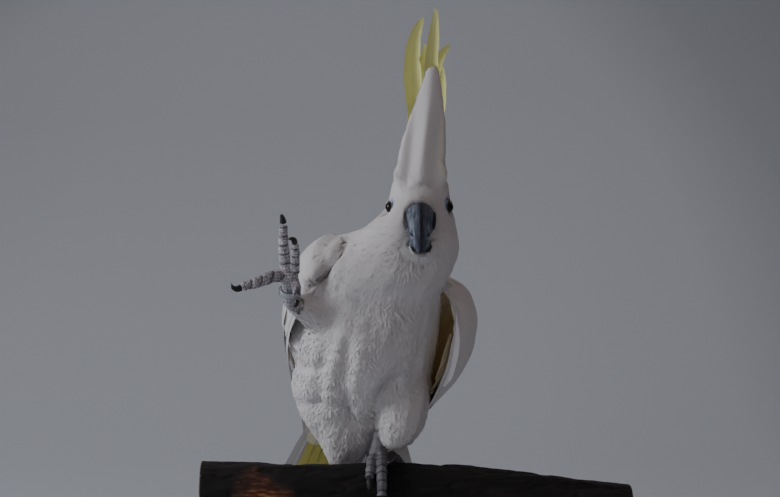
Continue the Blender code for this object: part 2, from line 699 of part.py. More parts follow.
def make_right_foot():
    """The lifted foot, open towards the front, with a metal ring on its shank."""
    shank = tube(
        "foot_right_shank",
        world_path((
            (-0.0672, -0.0585, 0.1186, 0.0048, 0.0048),
            (-0.0712, -0.0640, 0.1200, 0.0054, 0.0056),
            (-0.0736, -0.0690, 0.1250, 0.0049, 0.0050),
            (-0.0730, -0.0745, 0.1330, 0.0050, 0.0050),
            (-0.0722, -0.0795, 0.1395, 0.0064, 0.0058),
            (-0.0720, -0.0830, 0.1440, 0.0050, 0.0046),
        )), 8, 10, material("scaly_skin", SCALY_GREY, 0.7))
    front_outer = make_toe("foot_right_front_outer", (
        (-0.0748, -0.0815, 0.1440, 0.0040, 0.0040),
        (-0.0758, -0.0840, 0.1530, 0.0040, 0.0040),
        (-0.0764, -0.0872, 0.1640, 0.0036, 0.0037),
        (-0.0764, -0.0900, 0.1765, 0.0028, 0.0030),
    ), 4, (
        (-0.0764, -0.0903, 0.1778, 0.0025, 0.0027),
        (-0.0768, -0.0925, 0.1812, 0.0020, 0.0022),
        (-0.0774, -0.0955, 0.1836, 0.0013, 0.0014),
        (-0.0782, -0.0985, 0.1838, 0.0, 0.0),
    ))
    front_inner = make_toe("foot_right_front_inner", (
        (-0.0688, -0.0810, 0.1430, 0.0038, 0.0038),
        (-0.0683, -0.0850, 0.1500, 0.0035, 0.0035),
        (-0.0679, -0.0895, 0.1565, 0.0032, 0.0032),
        (-0.0679, -0.0935, 0.1625, 0.0026, 0.0027),
    ), 3, (
        (-0.0679, -0.0941, 0.1634, 0.0023, 0.0024),
        (-0.0686, -0.0970, 0.1662, 0.0020, 0.0021),
        (-0.0706, -0.0995, 0.1672, 0.0013, 0.0013),
        (-0.0728, -0.1008, 0.1662, 0.0, 0.0),
    ))
    rear_outer = make_toe("foot_right_rear_outer", (
        (-0.0765, -0.0812, 0.1396, 0.0043, 0.0043),
        (-0.0830, -0.0850, 0.1402, 0.0044, 0.0044),
        (-0.0940, -0.0900, 0.1362, 0.0040, 0.0041),
        (-0.1050, -0.0935, 0.1328, 0.0030, 0.0032),
    ), 4, (
        (-0.1058, -0.0938, 0.1324, 0.0026, 0.0027),
        (-0.1098, -0.0958, 0.1310, 0.0022, 0.0023),
        (-0.1124, -0.0985, 0.1325, 0.0014, 0.0014),
        (-0.1132, -0.1005, 0.1355, 0.0, 0.0),
    ))
    rear_inner = make_toe("foot_right_rear_inner", (
        (-0.0692, -0.0812, 0.1375, 0.0034, 0.0034),
        (-0.0672, -0.0850, 0.1320, 0.0032, 0.0032),
        (-0.0668, -0.0872, 0.1245, 0.0028, 0.0028),
    ), 2, (
        (-0.0668, -0.0875, 0.1235, 0.0023, 0.0023),
        (-0.0670, -0.0888, 0.1205, 0.0018, 0.0018),
        (-0.0676, -0.0905, 0.1185, 0.0011, 0.0011),
        (-0.0684, -0.0925, 0.1175, 0.0, 0.0),
    ))
    return shank, [front_outer, front_inner, rear_outer, rear_inner]


def make_leg_ring():
    """A plain closed metal ring that hangs loose on the lifted shank."""
    centre = at(-0.0736, -0.0722, 0.1288)
    axis = Vector((0.08, -0.55, 0.83)).normalized()
    side = axis.orthogonal().normalized()
    up = axis.cross(side)
    inner = 0.0061
    wall = 0.0008
    half_height = 0.0026
    section = [(inner + wall * out, half_height * up) for out, up in ((0, -1), (1, -1), (1, 1), (0, 1))]
    steps = 14
    points = []
    for k in range(steps):
        turn = 2 * pi * k / steps
        out = side * cos(turn) + up * sin(turn)
        points += [centre + out * radius + axis * height for radius, height in section]
    faces = []
    for k in range(steps):
        for j in range(4):
            a = k * 4 + j
            b = k * 4 + (j + 1) % 4
            c = ((k + 1) % steps) * 4 + (j + 1) % 4
            d = ((k + 1) % steps) * 4 + j
            faces.append((a, b, c, d))
    return object_from("leg_ring", points, faces, material("ring_metal", STEEL, 0.25, 1.0))


# ---- assembly -----------------------------------------------------------------------------------------

def main():
    clear_scene()
    base = make_stand_base()
    perch = make_perch()
    rods = [make_rod("stand_rod_left", ROD_SPREAD), make_rod("stand_rod_right", -ROD_SPREAD)]
    cut(base, *rods)
    cut(perch, *rods)

    trunk = make_trunk()
    neck = make_neck()
    head = make_head()
    eyes = [make_eye("eye_left", 1), make_eye("eye_right", -1)]
    upper = make_upper_bill()
    lower = make_lower_bill()
    cut(lower, upper)
    cut(head, *eyes, upper, lower)
    cut(neck, trunk, lower)

    front = make_crest_front()
    plumes = make_crest_plumes()
    cut(front, head, upper)
    for made in plumes:
        cut(made, head, front)

    tail = make_tail()
    cut(trunk, tail)
    arms = {}
    for word, side in (("left", 1), ("right", -1)):
        arms[word], flight = make_wing(word, side)
        cut(arms[word], trunk, neck)
        cut(flight, trunk, tail)

    for word, stations in (("left", LEFT_THIGH), ("right", RIGHT_THIGH)):
        thigh = tube(f"thigh_{word}", world_path(stations), 9, 12, material("white_plumage", WHITE, 0.75))
        cut(arms[word], thigh)
        cut(thigh, trunk)
        shank, toes = make_left_foot() if word == "left" else make_right_foot()
        cut(thigh, shank)
        placed = [shank]
        for toe, claw in toes:
            cut(toe, *placed)
            placed.append(toe)
        if word == "left":
            for piece in placed + [claw for toe, claw in toes]:
                cut(piece, perch)
    make_leg_ring()


main()
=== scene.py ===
import bpy
import bmesh
import numpy as np
from math import cos, pi, radians, sin
from mathutils import Matrix, Vector, noise
from mathutils.bvhtree import BVHTree


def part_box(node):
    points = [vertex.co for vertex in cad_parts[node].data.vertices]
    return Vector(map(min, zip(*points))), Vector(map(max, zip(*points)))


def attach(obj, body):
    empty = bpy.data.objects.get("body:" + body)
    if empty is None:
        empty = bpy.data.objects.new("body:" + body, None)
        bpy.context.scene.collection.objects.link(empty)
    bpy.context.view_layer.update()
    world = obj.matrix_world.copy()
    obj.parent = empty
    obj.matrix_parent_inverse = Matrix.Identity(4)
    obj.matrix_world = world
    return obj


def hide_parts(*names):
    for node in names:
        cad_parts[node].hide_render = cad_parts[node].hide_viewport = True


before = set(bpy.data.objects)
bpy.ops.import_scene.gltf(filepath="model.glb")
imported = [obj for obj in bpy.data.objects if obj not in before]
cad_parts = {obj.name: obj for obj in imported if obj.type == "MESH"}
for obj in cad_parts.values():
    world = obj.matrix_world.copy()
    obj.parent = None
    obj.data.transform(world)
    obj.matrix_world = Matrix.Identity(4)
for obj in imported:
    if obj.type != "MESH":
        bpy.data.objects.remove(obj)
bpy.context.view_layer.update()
bpy.ops.object.select_all(action="DESELECT")


# ---- stand base ------------------------------------------------------------------------------------------
# The display stand's base is a flat oval plate, lacquered black, with a softly rounded edge. It is one thick
# outline with its edges bevelled.

def middle(node):
    low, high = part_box(node)
    return (Vector(low) + Vector(high)) / 2


def span(node):
    low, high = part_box(node)
    return Vector(high) - Vector(low)


def new_material(name, roughness, **sockets):
    """A Principled material with its uniform values set on the shader's own sockets."""
    made = bpy.data.materials.new(name)
    made.use_nodes = True
    shader = made.node_tree.nodes["Principled BSDF"]
    shader.inputs["Roughness"].default_value = roughness
    for key, value in sockets.items():
        shader.inputs[key.replace("_", " ")].default_value = value
    return made, made.node_tree, shader


def add_node(tree, kind, values=None, **settings):
    """A node with its settings made, and its inputs each set to a value or linked from a socket."""
    made = tree.nodes.new(kind)
    for key, value in settings.items():
        setattr(made, key, value)
    for key, value in (values or {}).items():
        if isinstance(value, bpy.types.NodeSocket):
            tree.links.new(value, made.inputs[key])
        else:
            made.inputs[key].default_value = value
    return made


def feed(tree, shader, **sources):
    """Links a socket to each of the shader's inputs that is named."""
    for key, source in sources.items():
        tree.links.new(source, shader.inputs[key.replace("_", " ")])


def ramp(tree, source, *stops):
    """A colour ramp fed by source; each stop is a place, and a colour or a grey."""
    made = add_node(tree, "ShaderNodeValToRGB", {"Fac": source})
    elements = made.color_ramp.elements
    while len(elements) < len(stops):
        elements.new(0.5)
    for element, (place, colour) in zip(elements, stops):
        element.position = place
        element.color = (*np.broadcast_to(colour, 3).tolist(), 1.0)
    return made.outputs["Color"]


def bumped(tree, shader, height, strength, distance):
    bump = add_node(tree, "ShaderNodeBump", {"Strength": strength, "Distance": distance, "Height": height})
    feed(tree, shader, Normal=bump.outputs["Normal"])
    return bump


def object_place(tree):
    return tree.nodes.new("ShaderNodeTexCoord").outputs["Object"]


def object_noise(tree, scale, detail=4.0, roughness=0.55, stretch=(1.0, 1.0, 1.0)):
    """Noise on Object coordinates, stretched along an axis where stretch is small."""
    place = add_node(tree, "ShaderNodeMapping", {"Vector": object_place(tree), "Scale": stretch})
    values = {"Vector": place.outputs["Vector"], "Scale": scale, "Detail": detail, "Roughness": roughness}
    return add_node(tree, "ShaderNodeTexNoise", values).outputs["Fac"]


def pick(obj):
    """Leaves only this object selected, and makes it the active one."""
    bpy.ops.object.select_all(action="DESELECT")
    obj.select_set(True)
    bpy.context.view_layer.objects.active = obj


def apply_modifiers(obj):
    for modifier in list(obj.modifiers):
        bpy.ops.object.modifier_apply(modifier=modifier.name)


def settle(obj, name, material, smooth=40):
    """Applies the object's place and modifiers, names it, and shades it smooth up to an angle."""
    pick(obj)
    bpy.ops.object.transform_apply(location=True, rotation=True, scale=True)
    apply_modifiers(obj)
    bpy.ops.object.shade_smooth_by_angle(angle=radians(smooth))
    obj.name = name
    obj.data.name = name
    obj.data.materials.clear()
    obj.data.materials.append(material)
    obj.select_set(False)


lacquer, tree, shader = new_material("stand_lacquer", 0.32, Coat_Weight=0.35, Coat_Roughness=0.18)
grain = object_noise(tree, 60.0, 6.0, stretch=(0.12, 1.0, 1.0))
feed(tree, shader, Base_Color=ramp(tree, grain, (0.3, (0.012, 0.012, 0.014)), (0.8, (0.035, 0.034, 0.036))),
     Roughness=ramp(tree, object_noise(tree, 35.0), (0.3, 0.26), (0.8, 0.42)))
bumped(tree, shader, grain, 0.12, 0.0003)

base_low, base_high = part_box("stand_base")
base_round = (base_high[1] - base_low[1]) / 2
bpy.ops.mesh.primitive_circle_add(vertices=96, radius=base_round, fill_type="NGON", location=(0, 0, 0))
plate = bpy.context.object
straight = base_high[0] - base_round
for vertex in plate.data.vertices:
    vertex.co.x += straight if vertex.co.x > 0 else -straight
bpy.ops.object.mode_set(mode="EDIT")
bpy.ops.mesh.select_all(action="SELECT")
bpy.ops.mesh.extrude_region_move(TRANSFORM_OT_translate={"value": (0, 0, base_high[2])})
bpy.ops.mesh.select_all(action="SELECT")
bpy.ops.mesh.normals_make_consistent(inside=False)
bpy.ops.object.mode_set(mode="OBJECT")
edge = plate.modifiers.new("edge", "BEVEL")
edge.width = 0.0022
edge.segments = 4
edge.limit_method = "ANGLE"
settle(plate, "base_plate", lacquer)
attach(plate, "root")
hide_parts("stand_base")


# ---- rods ------------------------------------------------------------------------------------------------
# Two brushed steel rods carry the branch. Each stands in a small turned collar on the base, and its top is
# sunk in the branch.

steel, tree, shader = new_material("rod_steel", 0.3, Metallic=1.0)
brushed = object_noise(tree, 900.0, 3.0, stretch=(1.0, 1.0, 0.02))
feed(tree, shader, Base_Color=ramp(tree, brushed, (0.3, (0.52, 0.53, 0.55)), (0.7, (0.68, 0.69, 0.71))),
     Roughness=ramp(tree, brushed, (0.2, 0.22), (0.8, 0.38)))
bumped(tree, shader, brushed, 0.08, 0.0001)

COLLAR_RADIUS = 0.0105
COLLAR_HEIGHT = 0.006
for side in ("left", "right"):
    node = f"stand_rod_{side}"
    low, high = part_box(node)
    radius = (high[0] - low[0]) / 2
    place = middle(node)
    bpy.ops.mesh.primitive_cylinder_add(vertices=48, radius=radius, depth=high[2] - low[2], location=place)
    rod = bpy.context.object
    settle(rod, f"rod_{side}", steel)
    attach(rod, "root")
    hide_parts(node)
    bpy.ops.mesh.primitive_cylinder_add(
        vertices=48, radius=COLLAR_RADIUS, depth=COLLAR_HEIGHT,
        location=(place.x, place.y, base_high[2] + COLLAR_HEIGHT / 2 + 0.0001))
    collar = bpy.context.object
    chamfer = collar.modifiers.new("chamfer", "BEVEL")
    chamfer.width = 0.0018
    chamfer.segments = 3
    settle(collar, f"rod_collar_{side}", steel)
    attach(collar, "root")


# ---- perch -----------------------------------------------------------------------------------------------
# The branch is a cut length of dark hardwood with its bark on, sawn at both ends, where pale rings show. The
# bark is ridged and cracked along its length, and is worn off to red-brown wood in a patch at the left.

def new_object(name, data):
    """An object in the scene that shows the mesh, lamp or camera in data."""
    obj = bpy.data.objects.new(name, data)
    bpy.context.scene.collection.objects.link(obj)
    return obj


def copy_of(nodes, name, grow=0.0):
    """One mesh object from copies of CAD nodes, their triangles merged and each grown outwards a little."""
    shape = bmesh.new()
    for node in nodes:
        part = bmesh.new()
        part.from_mesh(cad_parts[node].data)
        bmesh.ops.remove_doubles(part, verts=part.verts, dist=1e-6)
        part.normal_update()
        for vertex in part.verts:
            vertex.co += vertex.normal * grow
        mesh = bpy.data.meshes.new("part")
        part.to_mesh(mesh)
        part.free()
        shape.from_mesh(mesh)
        bpy.data.meshes.remove(mesh)
    mesh = bpy.data.meshes.new(name)
    shape.to_mesh(mesh)
    shape.free()
    return new_object(name, mesh)


def remeshed(obj, voxel, smoothing):
    """Makes one even closed skin over the object's bodies, and smooths it."""
    modifier = obj.modifiers.new("skin", "REMESH")
    modifier.mode = "VOXEL"
    modifier.voxel_size = voxel
    modifier.use_smooth_shade = True
    modifier = obj.modifiers.new("smooth", "SMOOTH")
    modifier.factor = 0.5
    modifier.iterations = smoothing
    pick(obj)
    apply_modifiers(obj)
    obj.select_set(False)


def read_all(items, field, width=1, kind=np.float32):
    """One field of all of a mesh's points, faces or corners."""
    found = np.empty(len(items) * width, kind)
    items.foreach_get(field, found)
    return found.reshape(-1, width) if width > 1 else found


def points_of(mesh):
    return read_all(mesh.vertices, "co", 3)


def normals_of(mesh):
    return read_all(mesh.vertex_normals, "vector", 3)


def write_values(mesh, name, values):
    """Gives each point of the mesh a number, which a material reads by its name."""
    mesh.attributes.new(name, "FLOAT", "POINT").data.foreach_set("value", np.asarray(values, np.float32))


def values_of(tree, name):
    return add_node(tree, "ShaderNodeAttribute", attribute_name=name).outputs["Fac"]


def mixed(tree, factor, under, over, **settings):
    """One colour laid over another where factor is 1; each is a colour or a socket."""
    values = {"Factor": factor, "A": under, "B": over}
    return add_node(tree, "ShaderNodeMix", values, data_type="RGBA", **settings).outputs["Result"]


def move_points(mesh, points):
    mesh.vertices.foreach_set("co", np.ascontiguousarray(points, np.float32).ravel())
    mesh.update()


def noise_at(points, scale, seed=0.0, octaves=3):
    """Fractal noise of about -1 to 1 at many points."""
    offset = Vector((seed, seed * 0.7, -seed))
    return np.array([noise.fractal(Vector(p) * scale + offset, 1.0, 2.0, octaves) for p in points.tolist()])


branch = copy_of(["perch"], "branch")
remeshed(branch, 0.0015, 2)
points = points_of(branch.data)
normals = normals_of(branch.data)
perch_low, perch_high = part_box("perch")
on_side = 1.0 - np.abs(normals[:, 0]) ** 2
stretched = points * np.array((0.22, 1.0, 1.0), np.float32)
ridges = noise_at(stretched, 190.0, 3.0, 4)
cracks = 1.0 - np.abs(noise_at(stretched, 95.0, 8.0, 3))
BARE_FROM_END = 0.048
BARE_FROM_TOP = 0.030
bare_away = np.hypot((points[:, 0] - perch_low[0] - BARE_FROM_END) / 0.024,
                     (points[:, 2] - perch_high[2] + BARE_FROM_TOP) / 0.022)
bare = np.clip(1.6 - 1.5 * (bare_away + 0.35 * noise_at(points, 60.0, 5.0, 2)), 0, 1)
bare *= np.clip(-normals[:, 1] * 2.5, 0, 1)
bark_relief = 0.0007 * (ridges - 0.7) - 0.0011 * np.clip((cracks - 0.80) / 0.2, 0, 1) ** 2
relief = bark_relief * (1 - bare) * on_side - 0.0009 * bare * on_side
points = points + normals * np.minimum(relief, 0.0001)[:, None].astype(np.float32)
move_points(branch.data, points)
END_DEPTH = 0.006
ends = (np.abs(normals[:, 0]) > 0.8) & (
    (points[:, 0] < perch_low[0] + END_DEPTH) | (points[:, 0] > perch_high[0] - END_DEPTH))
write_values(branch.data, "bare_wood", bare)
write_values(branch.data, "sawn_end", ends)

bark, tree, shader = new_material("bark", 0.9)
coarse = object_noise(tree, 55.0, 8.0, 0.7, stretch=(0.3, 1.0, 1.0))
fine = object_noise(tree, 420.0, 5.0, 0.6, stretch=(0.25, 1.0, 1.0))
bark_colour = ramp(tree, coarse, (0.25, (0.003, 0.0025, 0.0025)), (0.50, (0.008, 0.0062, 0.0058)),
                   (0.66, (0.019, 0.0125, 0.010)), (0.82, (0.050, 0.045, 0.043)))
wood_colour = ramp(tree, fine, (0.30, (0.045, 0.012, 0.007)), (0.48, (0.130, 0.036, 0.018)),
                   (0.62, (0.30, 0.12, 0.050)), (0.78, (0.62, 0.38, 0.18)))
over = mixed(tree, values_of(tree, "bare_wood"), bark_colour, wood_colour)
# The sawn ends face along the branch, and show pale rings round its heart.
HEART_DEPTH = 0.026
heart = add_node(tree, "ShaderNodeMapping", {"Vector": object_place(tree),
                                             "Location": (0.0, 0.0, HEART_DEPTH - perch_high[2])})
rings = add_node(tree, "ShaderNodeTexWave",
                 {"Vector": heart.outputs["Vector"], "Scale": 120.0, "Distortion": 7.0, "Detail": 4.0},
                 wave_type="RINGS", rings_direction="X")
end_colour = ramp(tree, rings.outputs["Fac"], (0.2, (0.250, 0.165, 0.100)), (0.8, (0.350, 0.245, 0.155)))
feed(tree, shader, Base_Color=mixed(tree, values_of(tree, "sawn_end"), over, end_colour))
bumped(tree, shader, fine, 0.55, 0.0006)
branch.data.materials.append(bark)
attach(branch, "root")
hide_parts("perch")


# ---- feet ------------------------------------------------------------------------------------------------
# Each foot is bare grey skin with rows of small hard scales, two toes forward and two back. One skin covers
# the shank and the toes; the pads bulge between the joints, and the creases are darker.

scales, tree, shader = new_material("scaly_skin", 0.62, Specular_IOR_Level=0.35)
cells = add_node(tree, "ShaderNodeTexVoronoi",
                 {"Vector": object_place(tree), "Scale": 460.0, "Randomness": 0.75},
                 feature="DISTANCE_TO_EDGE")
edges = ramp(tree, cells.outputs["Distance"], (0.0, 0.0), (0.16, 1.0))
cloud = object_noise(tree, 160.0, 4.0)
tone = ramp(tree, cloud, (0.3, (0.12, 0.118, 0.130)), (0.7, (0.27, 0.26, 0.27)))
# The lifted foot's paler colour is feather powder, together with painted light.
pale_powder_and_light = ramp(tree, cloud, (0.25, (0.44, 0.43, 0.46)), (0.7, (0.78, 0.75, 0.78)))
dust_and_painted_light = mixed(tree, values_of(tree, "powder"), tone, pale_powder_and_light)
netted = mixed(tree, edges, (0.190, 0.185, 0.200, 1.0), dust_and_painted_light)
feed(tree, shader, Base_Color=mixed(tree, values_of(tree, "crease"), netted, (0.035, 0.032, 0.036, 1.0)))
bumped(tree, shader, edges, 0.3, 0.0003)


def shell_tree(nodes):
    """A search tree over CAD nodes' triangles, and which node each triangle belongs to."""
    points = []
    faces = []
    owners = []
    for node in nodes:
        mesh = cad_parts[node].data
        start = len(points)
        points += [vertex.co.copy() for vertex in mesh.vertices]
        for polygon in mesh.polygons:
            faces.append([start + k for k in polygon.vertices])
            owners.append(node)
    return BVHTree.FromPolygons(points, faces), owners


# Scales and pads repeat along the toe at these pitches from the middle of the shank.
SCALE_PITCH = 0.0026
PAD_PITCH = 0.0062
for side in ("left", "right"):
    prefix = f"foot_{side}_"
    soft = [node for node in sorted(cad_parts) if node.startswith(prefix) and not node.endswith("_claw")]
    foot = copy_of(soft, f"foot_skin_{side}", grow=0.00028)
    remeshed(foot, 0.00065, 3)
    points = points_of(foot.data)
    normals = normals_of(foot.data)
    tree_of, owners = shell_tree(soft)
    shank_middle = middle(prefix + "shank")
    crease = np.zeros(len(points), np.float32)
    for k, point in enumerate(points.tolist()):
        node = owners[tree_of.find_nearest(Vector(point))[2]]
        away = (Vector(point) - shank_middle).length
        scale = max(0.0, cos(2 * pi * away / SCALE_PITCH) - 0.55) / 0.45 * 0.5
        pad = max(0.0, cos(2 * pi * away / PAD_PITCH) - 0.6) / 0.4 * 1.5
        crease[k] = max(pad, scale) * (0.35 if node.endswith("shank") else 1.0)
    pebbles = noise_at(points, 700.0, 2.0, 2)
    points = points - normals * (0.00030 * crease + 0.00010 * pebbles)[:, None].astype(np.float32)
    move_points(foot.data, points)
    write_values(foot.data, "crease", crease * 0.55)
    # The lifted foot is paler than the standing one: partly feather powder, and partly painted light, the
    # lifted foot painted as lit and the standing one as in the body's shade.
    write_values(foot.data, "powder", np.full(len(points), 1.0 if side == "right" else 0.0))
    foot.data.materials.append(scales)
    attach(foot, "root")
    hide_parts(*soft)


# ---- claws -----------------------------------------------------------------------------------------------
# The claws are black horn, smooth and slightly glossy, curved to a point, one at the end of each toe.

horn, tree, shader = new_material("claw_horn", 0.34, Specular_IOR_Level=0.5)
streaks = object_noise(tree, 500.0, 4.0, stretch=(1.0, 1.0, 0.3))
feed(tree, shader,
     Base_Color=ramp(tree, streaks, (0.3, (0.010, 0.009, 0.010)), (0.75, (0.050, 0.046, 0.046))))
bumped(tree, shader, streaks, 0.15, 0.0002)
for node in sorted(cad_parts):
    if node.endswith("_claw"):
        claw = copy_of([node], node.replace("foot_", "claw_").replace("_claw", ""), grow=0.0001)
        remeshed(claw, 0.00032, 3)
        claw.data.materials.append(horn)
        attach(claw, "root")
        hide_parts(node)


# ---- skin ------------------------------------------------------------------------------------------------
# One skin covers the head, neck, trunk, thighs and wing arms, and lies under the plumage by its depth. It
# bulges in soft lobes on the belly, and is bare and pale blue round the eyes, whose lids it makes.

PERCH_TOP = perch_high[2]
HEAD_X = (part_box("bill_upper")[0][0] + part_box("bill_upper")[1][0]) / 2
COAT_DEPTH = {"head": 0.0012, "neck": 0.0018, "trunk": 0.0022, "thigh_left": 0.0022, "thigh_right": 0.0018,
              "wing_left_arm": 0.0014, "wing_right_arm": 0.0014, "crest_front": 0.0009}
BODY_AXIS = Vector((0.165, -0.600, 0.785)).normalized()
FACE = Vector((HEAD_X, -0.0860, PERCH_TOP + 0.1720))
RAISED_LEG = Vector((-0.042, -0.039, 0.021)).normalized()
# Each fold is a line seen from the front: its points across and above the branch, how deep, and how wide.
FOLDS = (
    (((-0.0315, 0.0870), (-0.0332, 0.0709), (-0.0337, 0.0563), (-0.0323, 0.0416), (-0.0275, 0.0306)),
     0.0050, 0.0046),
    (((0.0040, 0.0600), (-0.0030, 0.0545), (-0.0090, 0.0450), (-0.0125, 0.0343), (-0.0143, 0.0240)),
     0.0056, 0.0040),
    (((-0.0696, 0.0690), (-0.0570, 0.0685), (-0.0498, 0.0720), (-0.0470, 0.0860)), 0.0036, 0.0036),
    (((-0.0512, 0.0680), (-0.0520, 0.0520), (-0.0545, 0.0420)), 0.0034, 0.0036),
    (((-0.0700, 0.0408), (-0.0513, 0.0402), (-0.0323, 0.0350)), 0.0048, 0.0040),
    (((-0.0323, 0.0310), (-0.0235, 0.0262), (-0.0147, 0.0240)), 0.0042, 0.0038),
    (((-0.0220, 0.1690), (-0.0300, 0.1530), (-0.0330, 0.1390), (-0.0380, 0.1285)), 0.0034, 0.0050),
    (((-0.0250, 0.1260), (-0.0060, 0.1240), (0.0147, 0.1250)), 0.0022, 0.0060),
    (((-0.0700, 0.1060), (-0.0527, 0.0990), (-0.0420, 0.1030)), 0.0030, 0.0050),
    (((-0.0470, 0.1190), (-0.0300, 0.1130), (-0.0130, 0.1080)), 0.0045, 0.0085),
)
# The right wing's shoulder is rolled over the breast along this line.
SHOULDER_EDGE = ((-0.0290, 0.1710), (-0.0375, 0.1553), (-0.0480, 0.1403), (-0.0593, 0.1290))
# Places seen from the front that are fuller: across, above the branch, how far they reach, and how full.
SWELLINGS = ((0.0055, 0.2108, 0.007, 0.0038), (0.0402, 0.2105, 0.007, 0.0046),
             (0.0030, 0.2200, 0.007, -0.0016), (0.0425, 0.2190, 0.006, -0.0010),
             (0.0510, 0.1600, 0.013, 0.0022), (-0.0770, 0.0720, 0.018, -0.0040))
EYES = {side: middle(f"eye_{side}") for side in ("left", "right")}
EYE_RADIUS = span("eye_left").z / 2
EYE_SIDE = {side: Vector((way, -0.42, 0.06)).normalized() for side, way in (("left", 1.0), ("right", -1.0))}
FLESH = tuple(COAT_DEPTH)


def spread_over(values, edges, times):
    """Evens a value, or a vector, between joined points of a mesh."""
    count = np.bincount(edges.ravel(), minlength=len(values)).astype(float)
    columns = values.reshape(len(values), -1).astype(float)
    for _ in range(times):
        for k in range(columns.shape[1]):
            column = columns[:, k]
            total = np.bincount(edges[:, 0], weights=column[edges[:, 1]], minlength=len(values))
            total += np.bincount(edges[:, 1], weights=column[edges[:, 0]], minlength=len(values))
            columns[:, k] = (column + total / count) / 2
    return columns.reshape(values.shape)


def bell(values):
    """1 where values are 0, and falling smoothly to nothing on both sides."""
    return np.exp(-values ** 2)


def front_distance(points, line):
    """How far points are from a line of (across, above) places, seen from the front; under 0 on its right."""
    flat = points[:, (0, 2)].astype(float)
    best = np.full(len(points), 1.0)
    for (x0, z0), (x1, z1) in zip(line, line[1:]):
        start = np.array((x0, z0 + PERCH_TOP))
        way = np.array((x1 - x0, z1 - z0))
        share = np.clip(((flat - start) @ way) / (way @ way), 0, 1)
        off = flat - start - share[:, None] * way
        found = np.hypot(*off.T) * np.where(way[0] * off[:, 1] < way[1] * off[:, 0], -1, 1)
        best = np.where(np.abs(found) < np.abs(best), found, best)
    return best


def unit(vectors):
    return vectors / np.maximum(np.linalg.norm(vectors, axis=-1, keepdims=True), 1e-9)


flesh_tree, flesh_names = shell_tree(FLESH)
skin = copy_of(FLESH, "skin", grow=0.0006)
# Down fills the hollow where the right wing, the breast and the lifted thigh meet.
DOWN_RADIUS = 0.0095
round_hollow = [flesh_tree.ray_cast(Vector((across, -1.0, PERCH_TOP + above)), Vector((0, 1, 0)))[0]
                for across, above in ((-0.0620, 0.1400), (-0.0455, 0.1290), (-0.0560, 0.1240))]
bpy.ops.mesh.primitive_uv_sphere_add(segments=32, ring_count=16, radius=DOWN_RADIUS,
                                     location=sum(round_hollow, Vector()) / 3 + Vector((0, 0.0065, 0)))
skin.select_set(True)
bpy.context.view_layer.objects.active = skin
bpy.ops.object.join()
remeshed(skin, 0.0015, 9)
shape = bmesh.new()
shape.from_mesh(skin.data)
# The skin's mesh is made finer round the eyes and beside the shoulder's edge.
FINE_ROUND_EYE = 0.0115
FINE_BESIDE_EDGE = 0.0075
near_eye = [edge for edge in shape.edges if min(
    (edge.verts[0].co - eye).length for eye in EYES.values()) < FINE_ROUND_EYE]
bmesh.ops.subdivide_edges(shape, edges=near_eye, cuts=2, use_grid_fill=True, smooth=0.0)
shape.normal_update()
starts_of = np.array([edge.verts[0].co for edge in shape.edges])
beside_edge = np.abs(front_distance(starts_of, SHOULDER_EDGE)) < FINE_BESIDE_EDGE
near_edge = [edge for edge, near in zip(shape.edges, beside_edge) if near and edge.verts[0].normal.y < 0.1]
bmesh.ops.subdivide_edges(shape, edges=near_edge, cuts=1, use_grid_fill=True, smooth=0.0)
shape.to_mesh(skin.data)
shape.free()
skin_edges = read_all(skin.data.edges, "vertices", 2, np.int32)
points = points_of(skin.data)
normals = normals_of(skin.data)
skin_owner = np.array([flesh_names[flesh_tree.find_nearest(Vector(p))[2]] for p in points.tolist()])
# The neck runs into the trunk, and the forehead into the crest's cone, without a step.
step = np.zeros(len(points))
for one, other in (("neck", "trunk"), ("head", "neck"), ("head", "crest_front")):
    pair = (skin_owner[skin_edges[:, 0]] == one) & (skin_owner[skin_edges[:, 1]] == other)
    pair |= (skin_owner[skin_edges[:, 0]] == other) & (skin_owner[skin_edges[:, 1]] == one)
    step[skin_edges[pair].ravel()] = 1.0
near_step = np.clip(spread_over(step, skin_edges, 40) * 14, 0, 1)[:, None]
near_step = np.maximum(near_step, np.isin(skin_owner, ("wing_left_arm", "wing_right_arm"))[:, None] * 0.8)
points = points * (1 - near_step) + spread_over(points, skin_edges, 60) * near_step
move_points(skin.data, points)
points = points_of(skin.data)
normals = normals_of(skin.data)
coat_depth = spread_over(np.array([COAT_DEPTH[name] for name in skin_owner]), skin_edges, 14)
inwards = coat_depth.copy()
front = np.clip(0.25 - normals[:, 1] * 1.4, 0, 1)
for line, deep, wide in FOLDS:
    inwards += front * 0.74 * deep * bell(front_distance(points, line) / (1.22 * wide))
lobes = np.clip(noise_at(points, 60.0, 4.0, 2), -1, 1) + 0.55 * noise_at(points, 170.0, 9.0, 2)
inwards -= front * (skin_owner == "trunk") * 0.0013 * lobes
shoulder = front_distance(points, SHOULDER_EDGE)
above_perch = points[:, 2] - PERCH_TOP
along_edge = front * np.clip((0.1710 - above_perch) / 0.004, 0, 1)
along_edge *= np.clip((above_perch - 0.1265) / 0.009, 0, 1)
rolled = (1 - bell(shoulder / 0.0022)) * bell(shoulder / 0.016) * (shoulder < 0)
inwards += along_edge * (0.0034 * bell(shoulder / 0.0017) - 0.0040 * rolled)
points = points - normals * inwards[:, None]
for across, above, far, full in SWELLINGS:
    away = np.hypot(points[:, 0] - across, points[:, 2] - PERCH_TOP - above)
    points[:, 0] += full * bell(away / far) * normals[:, 0] * np.abs(normals[:, 0])
